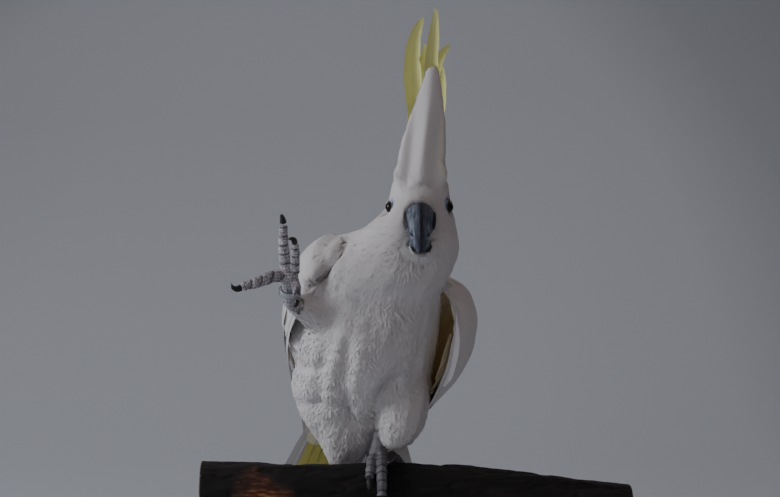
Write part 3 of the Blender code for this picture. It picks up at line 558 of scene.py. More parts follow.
# The held-off wing bows out at its bend and draws in towards its tips. Each pair is a place above the branch
# and how far the wing lies to the bird's left of its solid there.
WING_SWAY = np.array(((-0.030, 0.0), (0.020, -0.0030), (0.0465, -0.0060), (0.054, -0.0056), (0.0615, -0.0050),
                      (0.069, -0.0037), (0.0765, -0.0028), (0.084, -0.0022), (0.0915, -0.0010),
                      (0.099, 0.0008), (0.1065, 0.0021), (0.114, 0.0027), (0.1215, 0.0036), (0.129, 0.0054),
                      (0.1328, 0.0060), (0.1365, 0.0024), (0.140, 0.0)))


def wing_sway(places):
    shift = np.interp(places[:, 2] - PERCH_TOP, WING_SWAY[:, 0], WING_SWAY[:, 1])
    return np.where(shift > 0, shift * np.clip((places[:, 0] - 0.044) / 0.012, 0, 1), shift)


# The vent hangs down behind the branch's crest, between the left foot and the tail's outer feathers.
low = np.clip((0.036 - (points[:, 2] - PERCH_TOP)) / 0.024, 0, 1)
low *= np.clip((points[:, 1] + 0.002) / 0.014, 0, 1)
low *= 1 / (1 + np.exp((-0.0480 - points[:, 0]) / 0.0018)) / (1 + np.exp((points[:, 0] + 0.0145) / 0.0020))
points[:, 2] -= 0.0115 * low * (skin_owner == "trunk")
on_left_wing = spread_over((skin_owner == "wing_left_arm") * 1.0, skin_edges, 30)
points[:, 0] += wing_sway(points) * on_left_wing
# The crest's cone has a ridge down its front, with a hollow on each side of it.
cone = (skin_owner == "crest_front") & (normals[:, 1] < 0)
cone_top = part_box("crest_front")[1][2]
cone_middle = np.interp(points[:, 2] - PERCH_TOP, (0.201, 0.229, 0.262, 0.294),
                        (0.0217, 0.0245, 0.0284, 0.0310))
beside = points[:, 0] - cone_middle
ridge = bell(beside / 0.0045) - 0.7 * bell((np.abs(beside) - 0.0095) / 0.004)
points[:, 1] -= 0.0022 * ridge * cone * np.clip((cone_top - points[:, 2]) / 0.05, 0, 1)
bare = np.zeros(len(points))
lid_line = np.zeros(len(points))
eye_clear = np.ones(len(points))
for side, eye in EYES.items():
    out = np.array(EYE_SIDE[side])
    ahead = unit(np.array((0.0, -1.0, 0.0)) + out * out[1])
    away = points - np.array(eye)
    height = away @ out
    upward = away @ np.cross(ahead, out) / 0.0080
    # The bare patch is an almond that reaches forward from the eye; no feather grows in it or just before it.
    almond = np.hypot((away @ ahead - 0.0028) / 0.0066, upward * 0.94)
    eye_clear[(np.hypot((away @ ahead - 0.0030) / 0.0084, upward) < 1) & (height > -0.005)] = 0.0
    across = np.linalg.norm(away - height[:, None] * out, axis=1)
    here = (across < 0.0112) & (height > -0.006) & (np.linalg.norm(away, axis=1) < 0.0125)
    ball = np.sqrt(np.clip(EYE_RADIUS ** 2 - across ** 2, 0, None))
    lid = ball + 0.00035 - 0.0002 * np.cos(across * 2 * pi / 0.0011) * (across > 0.0050)
    opening = ball - 0.0016
    target = np.where(across < 0.0043, opening, lid)
    rim = 1 / (1 + np.exp((across - 0.0066) / 0.0006))
    lid_edge = bell((across - 0.0044) / 0.0005) * np.clip(1.6 - np.abs(upward) * 2.4, 0, 1)
    lid_line = np.maximum(lid_line, here * lid_edge)
    moved = height + (target - height) * rim
    points[here] += (moved - height)[here, None] * out
    bare = np.maximum(bare, (np.abs(height) < 0.008) * np.clip((1.0 - almond) / 0.16, 0, 1))
# The rim of skin round the lower bill is dark.
bill_tree = shell_tree(["bill_lower"])[0]
for k in np.flatnonzero(np.linalg.norm(points - np.array(middle("bill_lower")), axis=1) < 0.016):
    lid_line[k] = max(lid_line[k], bell(bill_tree.find_nearest(Vector(points[k]))[3] / 0.0015))
move_points(skin.data, points)
write_values(skin.data, "bare_blue", bare)
write_values(skin.data, "lid_line", lid_line)

skin_material, tree, shader = new_material("bare_skin", 0.55, Subsurface_Weight=0.1)
mottle = object_noise(tree, 300.0, 4.0)
colour = ramp(tree, mottle, (0.3, (0.76, 0.73, 0.70)), (0.8, (0.84, 0.82, 0.79)))
# Where tinted, the skin is painted brown: its yellowish tinge, with painted shade in the seams and gaps
# beside the wings.
for attribute, dark, light in (("bare_blue", (0.46, 0.53, 0.70), (0.62, 0.70, 0.86)),
                               ("tinted", (0.34, 0.22, 0.09), (0.50, 0.36, 0.17)),
                               ("lid_line", (0.030, 0.030, 0.036), (0.060, 0.060, 0.070))):
    colour = mixed(tree, values_of(tree, attribute), colour, ramp(tree, mottle, (0.3, dark), (0.8, light)))
feed(tree, shader, Base_Color=colour)
bumped(tree, shader, object_noise(tree, 1500.0, 3.0), 0.35, 0.0003)
skin.data.materials.append(skin_material)
pick(skin)
bpy.ops.object.mode_set(mode="EDIT")
bpy.ops.mesh.select_all(action="SELECT")
bpy.ops.uv.smart_project(angle_limit=radians(75), island_margin=0.004)
bpy.ops.object.mode_set(mode="OBJECT")
skin.data.uv_layers[0].name = "OFBake"
skin.select_set(False)
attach(skin, "root")
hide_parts(*FLESH)


# ---- lie of the plumage ----------------------------------------------------------------------------------
# The feathers all point back from the bill: up the forehead into the crest, round the cheeks, and down the
# breast and belly to the tail, and down each thigh. They are ruffled or parted in a few places.

points = points_of(skin.data)
normals = normals_of(skin.data)
flow = np.tile(-np.array(BODY_AXIS), (len(points), 1))
from_face = points - np.array(FACE)
reach = np.linalg.norm(from_face, axis=1)
on_head = np.clip((0.075 - reach) / 0.030, 0, 1)[:, None] * np.isin(skin_owner, ("head", "neck"))[:, None]
flow = flow * (1 - on_head) + unit(from_face) * on_head
flow[skin_owner == "crest_front"] = (0.06, 0.0, 1.0)
flow[skin_owner == "thigh_left"] = (-0.12, -0.10, -1.0)
flow[skin_owner == "thigh_right"] = np.array(RAISED_LEG)
flow = spread_over(flow, skin_edges, 14)
beside = (along_edge * bell(shoulder / 0.008))[:, None]
edge_top, edge_foot = SHOULDER_EDGE[0], SHOULDER_EDGE[-1]
edge_way = unit(np.array((edge_foot[0] - edge_top[0], 0.0, edge_foot[1] - edge_top[1])))
flow = flow * (1 - beside) + edge_way * beside
combed = noise_at(points, 38.0, 11.0, 3)[:, None] * (1 - beside)
flow = flow + 0.42 * combed * np.cross(normals, flow) * (skin_owner != "crest_front")[:, None]
flow = unit(flow - (flow * normals).sum(axis=1, keepdims=True) * normals)
# Ruffled places seen from the front: across, above the branch, and how far they reach.
RUFFLES = ((-0.0015, 0.1135, 0.014), (-0.0176, 0.0856, 0.010), (-0.0433, 0.0541, 0.014),
           (-0.0235, 0.0365, 0.009), (0.0010, 0.0590, 0.007), (0.0120, 0.1480, 0.009),
           (-0.0570, 0.0930, 0.009), (-0.0300, 0.0180, 0.010))
ruffled = np.zeros(len(points))
for across, above, far in RUFFLES:
    away = np.hypot(points[:, 0] - across, points[:, 2] - PERCH_TOP - above)
    ruffled = np.maximum(ruffled, bell(away / far) * (normals[:, 1] < 0.1))


def survey(obj, flow, *extra):
    """What the feathers need of a surface: its search tree, areas, map, lie, and depth, ruffling and tint."""
    mesh = obj.data
    return dict(tree=BVHTree.FromObject(obj, bpy.context.evaluated_depsgraph_get()),
                area=read_all(mesh.polygons, "area"),
                first=read_all(mesh.polygons, "loop_start", 1, np.int32),
                sides=read_all(mesh.polygons, "loop_total", 1, np.int32),
                vertex=read_all(mesh.loops, "vertex_index", 1, np.int32),
                uv=read_all(mesh.uv_layers["OFBake"].data, "uv", 2), points=points_of(mesh),
                normals=normals_of(mesh), flow=flow, extra=np.stack(extra, axis=1))


chance = np.random.default_rng(7)


def roots_on(surface, keep, spacing):
    """Evenly scattered places on a surface, where keep gives a share for each of its points."""
    first, sides, vertex = surface["first"], surface["sides"], surface["vertex"]
    weight = surface["area"] * keep[vertex[first]]
    total = int(weight.sum() / spacing ** 2 * 2.2)
    chosen = chance.choice(len(weight), total, p=weight / weight.sum())
    mix = chance.dirichlet((1.0, 1.0, 1.0), total)
    third = np.minimum(2 + (chance.random(total) < 0.5), sides[chosen] - 1)
    corners = first[chosen][:, None] + np.stack((0 * third, 0 * third + 1, third), axis=1)
    found = vertex[corners]
    place = (surface["points"][found] * mix[..., None]).sum(axis=1)
    cell = np.floor(place / spacing).astype(np.int64)
    kept = np.unique(cell @ np.array((1, 10 ** 6, 10 ** 12)), return_index=True)[1]
    kept.sort()
    found, mix = found[kept], mix[kept]
    share = mix[..., None]
    normal, way, extra = ((surface[key][found] * share).sum(axis=1) for key in ("normals", "flow", "extra"))
    return dict(place=place[kept], normal=unit(normal), way=unit(way), depth=extra[:, 0], ruffle=extra[:, 1],
                tint=extra[:, 2], uv=(surface["uv"][corners[kept]] * share).sum(axis=1), tree=surface["tree"])


# The ear coverts, the held-off wing's lining and bend, and the cone's side and tip are yellowish. Along the
# roll of the right wing's shoulder the bare skin is painted brown: painted shade in the seam between wing and
# breast.
tinted = np.zeros(len(points))
for side, eye in EYES.items():
    cheek = np.array(eye) + np.array(EYE_SIDE[side]) * 0.002 + np.array((0.0, 0.008, -0.012))
    tinted = np.maximum(tinted, 0.30 * bell(np.linalg.norm(points - cheek, axis=1) / 0.008))
wing_middle = np.array(middle("wing_left_arm"))
facing_in = (normals * unit(np.array(middle("trunk")) - wing_middle)).sum(axis=1)
tinted = np.maximum(tinted, (skin_owner == "wing_left_arm") * np.clip(facing_in * 1.6, 0, 1) * 0.60)
wing_top = np.hypot(points[:, 0] - 0.0485, points[:, 2] - PERCH_TOP - 0.1385)
tinted = np.maximum(tinted, 0.6 * bell(wing_top / 0.0036) * (normals[:, 1] < 0.2))
cone_side = 0.16 * np.clip((points[:, 0] - cone_middle - 0.007) / 0.006, 0, 1)
cone_tip = np.clip((points[:, 2] - PERCH_TOP - 0.276) / 0.018, 0, 1)
tinted = np.maximum(tinted, (skin_owner == "crest_front") * np.maximum(cone_side, cone_tip))
# On the skin, the seam along the shoulder's roll is painted brown as painted shade.
tint_and_seam_shade = np.maximum(tinted, 0.9 * (along_edge > 0.2) * bell(shoulder / 0.0016))
write_values(skin.data, "tinted", tint_and_seam_shade)
skin_surface = survey(skin, flow, coat_depth, ruffled, tinted)


# Each small feather takes its baked colour from a patch of this size at its root on the skin's map.
ROOT_PATCH = 0.003


def blades(name, centres, ups, sides, half_width, uv, tone, yellow, material):
    """Joins feathers into one mesh: each is a thin closed three-sided blade along its row of centres."""
    count, stations = centres.shape[:2]
    rows = slice(0, stations - 1)
    left = centres[:, rows] + sides[:, rows] * half_width[:, rows, None]
    right = centres[:, rows] - sides[:, rows] * half_width[:, rows, None]
    top = centres[:, rows] + ups[:, rows] * (half_width * 0.16 + 0.00006)[:, rows, None]
    rings = np.stack((left, top, right), axis=2).reshape(count, -1, 3)
    vertices = np.concatenate((rings, centres[:, -1:]), axis=1)
    lie = np.concatenate((np.repeat(ups[:, rows], 3, axis=1), ups[:, -1:]), axis=1)
    each = vertices.shape[1]
    quads = []
    for row in range(stations - 2):
        for k in range(3):
            a, b = 3 * row + k, 3 * row + (k + 1) % 3
            quads.append((a, b, b + 3, a + 3))
    last = 3 * (stations - 2)
    triangles = [(2, 1, 0)] + [(last + k, last + (k + 1) % 3, each - 1) for k in range(3)]
    first = (np.arange(count) * each)[:, None, None]
    corners = np.concatenate([(np.array(group)[None] + first).reshape(-1) for group in (quads, triangles)])
    sizes = np.repeat((4, 3), (len(quads) * count, len(triangles) * count))
    starts = np.concatenate(((0,), np.cumsum(sizes)[:-1]))
    mesh = bpy.data.meshes.new(name)
    mesh.vertices.add(count * each)
    mesh.vertices.foreach_set("co", vertices.reshape(-1).astype(np.float32))
    mesh.loops.add(len(corners))
    mesh.loops.foreach_set("vertex_index", corners.astype(np.int32))
    mesh.polygons.add(len(sizes))
    mesh.polygons.foreach_set("loop_start", starts.astype(np.int32))
    mesh.polygons.foreach_set("loop_total", sizes.astype(np.int32))
    along = np.linspace(0, 1, stations)
    place = [(side, along[row]) for row in range(stations - 1) for side in (0.0, 0.5, 1.0)]
    local = np.tile(np.array(place + [(0.5, 1.0)]), (count, 1))
    patch = np.repeat(uv, each, axis=0) + (local - 0.5) * ROOT_PATCH
    for layer_name, values in (("OFBake", patch), ("barbs", local)):
        layer = mesh.uv_layers.new(name=layer_name)
        layer.data.foreach_set("uv", values[corners].astype(np.float32).reshape(-1))
    write_values(mesh, "tone", np.repeat(tone, each))
    write_values(mesh, "yellow", np.repeat(yellow, each))
    layer = mesh.attributes.new("lie", "FLOAT_VECTOR", "POINT")
    layer.data.foreach_set("vector", lie.reshape(-1).astype(np.float32))
    mesh.update(calc_edges=True)
    mesh.validate()
    obj = new_object(name, mesh)
    pick(obj)
    bpy.ops.object.shade_smooth_by_angle(angle=radians(60))
    obj.select_set(False)
    mesh.materials.append(material)
    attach(obj, "root")


# A blade's half width along it, and where its rings of points are.
PROFILE = np.array(((0.0, 0.45), (0.22, 0.85), (0.45, 1.0), (0.72, 0.93), (0.88, 0.68), (1.0, 0.0))).T
FINE = (0.0, 0.45, 0.87, 1.0)
LONG = (0.0, 0.30, 0.62, 0.88, 1.0)


def lay(name, roots, length, half_width, stand=1.0, ruffle=1.0, stations=FINE, swerve=0.10, material=None):
    """Lays one feather from each root along the skin; it rises to the top of the plumage at its tip."""
    tree = roots["tree"]
    count = len(roots["place"])
    share = np.array(stations)
    long = length * (0.8 + 0.4 * chance.random(count)) * (1 + 0.25 * roots["ruffle"] * ruffle)
    turn = chance.normal(0, swerve, count) + roots["ruffle"] * ruffle * (
        0.55 * noise_at(roots["place"], 260.0, 3.0, 1) + chance.normal(0, 0.30, count))
    normal = roots["normal"]
    way = roots["way"] * np.cos(turn)[:, None] + np.cross(normal, roots["way"]) * np.sin(turn)[:, None]
    centres = np.empty((count, len(share), 3))
    ups = np.empty((count, len(share), 3))
    ways = np.empty((count, len(share), 3))
    centres[:, 0], ups[:, 0], ways[:, 0] = roots["place"], normal, way
    for k in range(1, len(share)):
        step = (long * (share[k] - share[k - 1]))[:, None]
        guess = centres[:, k - 1] + ways[:, k - 1] * step
        hits = [tree.find_nearest(Vector(p)) for p in guess.tolist()]
        centres[:, k] = np.array([hit[0] for hit in hits])
        up = np.array([hit[1] for hit in hits])
        ups[:, k] = unit(up + 0.8 * ups[:, k - 1])
        ahead = unit(centres[:, k] - centres[:, k - 1] + 1e-9)
        ways[:, k] = unit(ahead - (ahead * ups[:, k]).sum(axis=1, keepdims=True) * ups[:, k])
    rise = roots["depth"] * stand * (0.96 + 0.06 * chance.random(count)) * (
        1 + 0.8 * roots["ruffle"] * ruffle * (chance.random(count) - 0.35))
    shape_up = 1 - (1 - share) ** 2.2
    centres = centres + ups * (rise[:, None] * shape_up[None] - 0.0004)[..., None]
    sides = unit(np.cross(ups, ways))
    tilt = chance.normal(0, 0.05, count) * (1 + 2 * roots["ruffle"] * ruffle)
    sides = unit(sides + ups * tilt[:, None, None])
    wide = half_width * (0.8 + 0.4 * chance.random(count))
    half = wide[:, None] * np.interp(share, *PROFILE)[None]
    tone = chance.random(count)
    blades(name, centres, ups, sides, half, roots["uv"], tone, roots["tint"], material or plumage)


# ---- plumage material ------------------------------------------------------------------------------------
# Matt white feather, with fine barbs slanting out from each shaft. It is a little warmer and darker towards
# its root: partly the down's own tone, and partly painted shade where the root lies under the feathers before
# it. Where a feather is yellow, it is a clear sulphur yellow.

def plumage_group():
    """Colour and height of a feather's web, from its own map: barbs, shaft, and its share of yellow."""
    group = bpy.data.node_groups.new("feather web", "ShaderNodeTree")
    for name, way, kind in (("Barbs", "INPUT", "Float"), ("White", "INPUT", "Color"),
                            ("Down", "INPUT", "Color"), ("Yellow", "INPUT", "Color"),
                            ("Colour", "OUTPUT", "Color"), ("Height", "OUTPUT", "Float")):
        group.interface.new_socket(name, in_out=way, socket_type=f"NodeSocket{kind}")
    inlet = group.nodes.new("NodeGroupInput").outputs
    web = add_node(group, "ShaderNodeUVMap", uv_map="barbs")
    parts = add_node(group, "ShaderNodeSeparateXYZ", {"Vector": web.outputs["UV"]}).outputs

    def maths(operation, *values):
        return add_node(group, "ShaderNodeMath", dict(enumerate(values)), operation=operation).outputs[0]

    def fall(source, end, top):
        """Falls from top, where source is 0, to nothing, where it is end."""
        values = {"Value": source, "From Min": 0.0, "From Max": end, "To Min": top, "To Max": 0.0}
        return add_node(group, "ShaderNodeMapRange", values).outputs["Result"]

    off_shaft = maths("ABSOLUTE", maths("SUBTRACT", parts["X"], 0.5))
    slant = maths("MULTIPLY_ADD", off_shaft, -0.35, parts["Y"])
    wave = maths("SINE", maths("MULTIPLY", slant, inlet["Barbs"]))
    height = maths("MULTIPLY_ADD", wave, 0.5, fall(off_shaft, 0.05, 1.6))
    # Towards its root the web turns to the darker, warmer down colour: the down's own tone, and painted shade
    # under the feathers lapping over it.
    root_down_and_shade = maths("MULTIPLY_ADD", values_of(group, "tone"), 0.12, fall(parts["Y"], 0.55, 0.75))
    base = mixed(group, root_down_and_shade, inlet["White"], inlet["Down"])
    colour = mixed(group, values_of(group, "yellow"), base, inlet["Yellow"])
    add_node(group, "NodeGroupOutput", {"Colour": colour, "Height": height})
    return group


feather_web = plumage_group()


def feather_material(name, barbs, white, down, yellow, strength, distance, roughness=0.72, soft=0.0):
    """Feather of one kind. Where soft is over 0 its web is loose, and shades as the body under it does."""
    made, tree, shader = new_material(name, roughness, Sheen_Weight=0.25, Sheen_Roughness=0.5,
                                      Specular_IOR_Level=0.25)
    values = {"Barbs": barbs, "White": (*white, 1.0), "Down": (*down, 1.0), "Yellow": (*yellow, 1.0)}
    web = add_node(tree, "ShaderNodeGroup", values, node_tree=feather_web)
    feed(tree, shader, Base_Color=web.outputs["Colour"])
    bump = bumped(tree, shader, web.outputs["Height"], strength, distance)
    if soft:
        lie = add_node(tree, "ShaderNodeAttribute", attribute_name="lie").outputs["Vector"]
        own = tree.nodes.new("ShaderNodeNewGeometry").outputs["Normal"]
        softened = add_node(tree, "ShaderNodeMix", {"Factor": soft, "A": own, "B": lie}, data_type="VECTOR")
        feed(tree, bump, Normal=softened.outputs["Result"])
    return made


WHITE = (0.79, 0.765, 0.75)
DOWN = (0.76, 0.725, 0.70)
STAIN = (0.74, 0.58, 0.22)
plumage = feather_material("white_plumage", 60.0, WHITE, DOWN, STAIN, 0.12, 0.0002, soft=0.72)
YELLOW = (0.93, 0.94, 0.40)
cone_plumage = feather_material("cone_plumage", 90.0, WHITE, DOWN, YELLOW, 0.12, 0.0002, soft=0.30)
loose_plumage = feather_material("loose_plumage", 60.0, WHITE, DOWN, STAIN, 0.15, 0.0002, soft=0.30)


# ---- small feathers --------------------------------------------------------------------------------------
# Short feathers on the face grow longer down the neck, breast, belly and thighs. Each is a soft thin blade
# whose root is covered by the tips of those before it.

LOWER_BILL = middle("bill_lower")
under_bill = np.hypot((points[:, 0] - LOWER_BILL.x) / 0.0120, (points[:, 2] - LOWER_BILL.z) / 0.0100) < 1
edge_clear = ~((np.abs(shoulder) < 0.0011) & (along_edge > 0.3)) * ~(under_bill & (points[:, 1] < -0.055))
is_head, is_neck = ((skin_owner == node) * eye_clear * edge_clear for node in ("head", "neck"))
is_cone, is_left_thigh, is_right_thigh = (skin_owner == node for node in (
    "crest_front", "thigh_left", "thigh_right"))
is_trunk = (skin_owner == "trunk") & edge_clear
forward = normals @ np.array((0.0, -0.785, -0.6)) > -0.1
MIDLINE = -0.019
on_left = points[:, 0] > MIDLINE
near_bill = np.linalg.norm(points - np.array(FACE), axis=1) < 0.026
low_on_body = (points - np.array((MIDLINE, 0.005, PERCH_TOP + 0.084))) @ np.array(BODY_AXIS) < -0.01


def coat(name, keep, spacing, length, half_width, **how):
    """One piece of plumage over the part of the skin that keep marks."""
    roots = roots_on(skin_surface, keep, spacing)
    lay(name, roots, length, half_width, **how)


coat("coat_face", is_head * near_bill, 0.00072, 0.0042, 0.00034, stand=0.9)
coat("coat_head", is_head * ~near_bill, 0.00078, 0.0070, 0.00042, stand=1.1)
forehead = is_head * (points[:, 2] > PERCH_TOP + 0.189) * (normals[:, 2] > -0.3)
coat("coat_forehead", forehead, 0.00095, 0.0150, 0.00075, stand=0.9, swerve=0.05, stations=LONG)
coat("coat_crest", is_cone * 1.0, 0.00095, 0.0140, 0.00070, swerve=0.02, stations=LONG, material=cone_plumage)
coat("coat_neck", is_neck, 0.00090, 0.0105, 0.00060, stand=1.05)
breast = is_trunk * forward * ~low_on_body
belly = is_trunk * forward * low_on_body
for word, half_of in (("left", on_left), ("right", ~on_left)):
    coat(f"coat_breast_{word}", breast * half_of, 0.00097, 0.0130, 0.00070)
for word, half_of in (("left", on_left), ("right", ~on_left)):
    coat(f"coat_belly_{word}", belly * half_of, 0.00100, 0.0140, 0.00073)
back = is_trunk * ~forward * ((points[:, 0] < 0.040) | (points[:, 1] > 0.0))
coat("coat_back", back, 0.0021, 0.0190, 0.0020, stand=0.9, ruffle=0.0)
coat("coat_thigh_left", is_left_thigh * 1.0, 0.00092, 0.0110, 0.00064)
coat("coat_thigh_right", is_right_thigh * 1.0, 0.00090, 0.0090, 0.00058)
for side in ("left", "right"):
    arm = (skin_owner == f"wing_{side}_arm") * edge_clear * 1.0
    coat(f"coat_wing_{side}", arm, 0.0014, 0.0105, 0.00135, stand=0.8, ruffle=0.0, swerve=0.06)
# Loose tufts stand a little out of the rest, most of all in the ruffled places.
loose = (is_trunk | (is_neck > 0)) * forward * (0.05 + ruffled) * (1 - along_edge * bell(shoulder / 0.012))
coat("coat_loose", loose, 0.0019, 0.0085, 0.0009, stand=1.25, ruffle=1.3, swerve=0.35, material=loose_plumage)
loose = (is_left_thigh | is_right_thigh) * 0.25 + low_on_body * is_trunk * forward * 0.16
loose *= points[:, 1] < 0.045
coat("coat_loose_low", loose, 0.0021, 0.0080, 0.0009, stand=1.3, swerve=0.40, material=loose_plumage)

# A soft ruff stands forward round the lower bill, and hides its sides and underside.
RUFF_COUNT = 620
around = np.radians(chance.uniform(-118, 118, RUFF_COUNT))
outwards = chance.random(RUFF_COUNT)
ruff_root = np.stack((LOWER_BILL.x + 0.0112 * np.sin(around) * (1 + 0.30 * outwards),
                      np.full(RUFF_COUNT, -0.0790),
                      LOWER_BILL.z - 0.0094 * np.cos(around) * (1 + 0.30 * outwards)), axis=1)
hits = [skin_surface["tree"].find_nearest(Vector(p)) for p in ruff_root.tolist()]
ruff_root = np.array([hit[0] for hit in hits])
side_reach = np.where(around < 0, 0.0062, 0.0084)
ruff_tip = np.stack((LOWER_BILL.x + side_reach * np.sin(around) * (1 + 0.40 * outwards),
                     ruff_root[:, 1] + (-0.0893 - ruff_root[:, 1]) * (1 - 0.85 * outwards),
                     LOWER_BILL.z - 0.0050 * np.cos(around) * (1 + 0.75 * outwards)), axis=1)
ruff_tip += chance.normal(0, 0.0003, ruff_tip.shape)
radial = unit(np.stack((np.sin(around), -0.8 + 0 * around, -np.cos(around)), axis=1))
ruff_bow = (ruff_root + ruff_tip) / 2 + radial * 0.0012
share = np.array(FINE)[None, :, None]
ruff = (1 - share) ** 2 * ruff_root[:, None] + 2 * share * (1 - share) * ruff_bow[:, None]
ruff = ruff + share ** 2 * ruff_tip[:, None]
ruff_ups = np.repeat(radial[:, None], len(FINE), axis=1)
ruff_sides = unit(np.cross(ruff_ups, unit(np.gradient(ruff, axis=1))))
ruff_half = 0.0006 * np.interp(FINE, *PROFILE)[None].repeat(RUFF_COUNT, axis=0)
near_root = np.argmin(np.linalg.norm(points[None, ::9] - ruff_root[:, None], axis=2), axis=1) * 9
corner_uv = np.zeros((len(points), 2), np.float32)
corner_uv[skin_surface["vertex"]] = skin_surface["uv"]
blades("coat_ruff", ruff, ruff_ups, ruff_sides, ruff_half, corner_uv[near_root], chance.random(RUFF_COUNT),
       np.zeros(RUFF_COUNT), plumage)


# ---- large feathers --------------------------------------------------------------------------------------
# A large feather is a stiff central shaft with a web on each side, cambered across, its web a little split
# near the end. The wing, tail and crest feathers are all made this way, and differ in outline and set.

ACROSS = np.array((-1.0, -0.68, -0.36, -0.07, 0.0, 0.07, 0.36, 0.68, 1.0))
# Each outline is a share of the feather's length, and how wide its web is there.
FLIGHT_OUTLINE = np.array(((0.0, 0.30), (0.10, 0.62), (0.30, 0.95), (0.60, 1.0), (0.82, 0.88), (0.93, 0.60),
                           (0.98, 0.32), (1.0, 0.04))).T
CREST_OUTLINE = np.array(((0.0, 0.30), (0.20, 0.60), (0.45, 0.97), (0.62, 1.0), (0.80, 0.80), (0.92, 0.52),
                          (0.98, 0.28), (1.0, 0.03))).T
TAIL_OUTLINE = np.array(((0.0, 0.40), (0.20, 0.62), (0.60, 0.90), (0.88, 1.0), (0.95, 0.88), (0.985, 0.58),
                         (1.0, 0.08))).T
COVERT_OUTLINE = np.array(((0.0, 0.40), (0.30, 0.85), (0.65, 1.0), (0.84, 0.93), (0.94, 0.70), (0.985, 0.38),
                           (1.0, 0.08))).T


def notches(share, wide, many):
    """A factor under 1 where the web has come apart, at a few places towards its end."""
    factor = np.ones(len(share))
    for _ in range(many):
        place = 0.45 + 0.5 * chance.random()
        factor -= wide * chance.random() * bell((share - place) / 0.012)
    return factor


def vane(line, ups, half, outline, left=1.0, right=1.0, camber=8.0, thick=0.0005, shaft=0.0006, split=0.25,
         yellow_top=0.0, yellow_under=0.0, limit=None, yellow_edge=None):
    """One feather's points, ring by ring, with its map and colours. camber is in 1/m across the web."""
    count = len(line)
    even = np.linspace(0, 1, count)
    share = 1 - (1 - even) ** 1.7
    line, ups = (np.stack([np.interp(share, even, column) for column in values.T], axis=1)
                 for values in (line, ups))
    along = unit(np.gradient(line, axis=0))
    ups = unit(ups - (ups * along).sum(axis=1, keepdims=True) * along)
    sides = np.cross(ups, along)
    wide = half * np.interp(share, *outline)
    if limit is not None:
        wide = np.minimum(wide, np.interp(share, even, limit))
    left_wide = wide * left * notches(share, split, 3)
    right_wide = wide * right * notches(share, split, 3)
    reach = np.where(ACROSS[None] > 0, ACROSS[None] * left_wide[:, None], ACROSS[None] * right_wide[:, None])
    sag = -0.5 * camber * reach ** 2
    body_thick = thick * (1.05 - ACROSS[None] ** 2) * (1 - 0.55 * share[:, None])
    quill = shaft * (1 - 0.75 * share[:, None]) * (np.abs(ACROSS[None]) < 0.01)
    base = line[:, None] + sides[:, None] * reach[..., None]
    top = base + ups[:, None] * (sag + body_thick / 2 + quill)[..., None]
    under = base + ups[:, None] * (sag - body_thick / 2 - quill)[..., None]
    ring = np.concatenate((top, under[:, -2:0:-1]), axis=1)
    place = np.concatenate((ACROSS, ACROSS[-2:0:-1])) * 0.5 + 0.5
    web = np.stack(np.broadcast_arrays(place[None], share[:, None]), axis=2)
    yellow = np.concatenate((np.full(len(ACROSS), yellow_top), np.full(len(ACROSS) - 2, yellow_under)))
    if yellow_edge is not None:
        yellow[[0, len(ACROSS) - 1]] = yellow_edge
    yellow = np.broadcast_to(yellow[None], ring.shape[:2])
    return dict(ring=ring, web=web, yellow=yellow, tone=np.full(ring.shape[:2], chance.random()))


def join_vanes(name, vanes, material):
    """Joins large feathers into one mesh and closes both their ends."""
    parts = {key: [] for key in ("ring", "web", "yellow", "tone")}
    faces = []
    start = 0
    for made in vanes:
        rows, around = made["ring"].shape[:2]
        for key, found in parts.items():
            found.append(made[key].reshape(rows * around, -1))
        for row in range(rows - 1):
            for k in range(around):
                a, b = start + row * around + k, start + row * around + (k + 1) % around
                faces.append((b, a, a + around, b + around))
        last = start + (rows - 1) * around
        for k in range(len(ACROSS) - 1):
            # A strip of faces closes each end between the top and the underside.
            for ring_start, turned in ((start, False), (last, True)):
                a, b = ring_start + k, ring_start + k + 1
                c, d = ring_start + (around - k) % around, ring_start + (around - k - 1) % around
                corner = [a, b, d, c]
                corner = [v for i, v in enumerate(corner) if v not in corner[:i]]
                if len(corner) > 2:
                    faces.append(tuple(corner[::-1] if turned else corner))
        start += rows * around
    ring, web, yellow, tone = (np.concatenate(found) for found in parts.values())
    mesh = bpy.data.meshes.new(name)
    mesh.from_pydata(ring.tolist(), [], faces)
    layer = mesh.uv_layers.new(name="barbs")
    corners = read_all(mesh.loops, "vertex_index", 1, np.int32)
    layer.data.foreach_set("uv", web[corners].astype(np.float32).reshape(-1))
    write_values(mesh, "tone", tone[:, 0])
    write_values(mesh, "yellow", yellow[:, 0])
    obj = new_object(name, mesh)
    pick(obj)
    bpy.ops.object.mode_set(mode="EDIT")
    bpy.ops.mesh.select_all(action="SELECT")
    bpy.ops.mesh.normals_make_consistent(inside=False)
    bpy.ops.object.mode_set(mode="OBJECT")
    bpy.ops.object.shade_smooth_by_angle(angle=radians(50))
    obj.select_set(False)
    mesh.materials.append(material)
    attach(obj, "root")
    return obj


WEB_WHITE = (0.78, 0.76, 0.75)
WEB_DOWN = (0.74, 0.71, 0.67)
flight_plumage = feather_material(
    "flight_plumage", 620.0, WEB_WHITE, WEB_DOWN, (0.78, 0.62, 0.30), 0.15, 0.0002, 0.62)
tail_plumage = feather_material(
    "tail_plumage", 620.0, WEB_WHITE, WEB_DOWN, (0.86, 0.78, 0.17), 0.12, 0.0002, 0.62)
crest_plumage = feather_material(
    "crest_plumage", 520.0, (0.80, 0.79, 0.74), (0.84, 0.80, 0.60), YELLOW, 0.25, 0.0003)


# ---- wings -----------------------------------------------------------------------------------------------
# Each folded wing is a curved shield: rows of coverts lap over the flight feathers, whose tips run together
# to a point by the tail. The left wing is dropped and held off the body, and shows its yellowish lining.

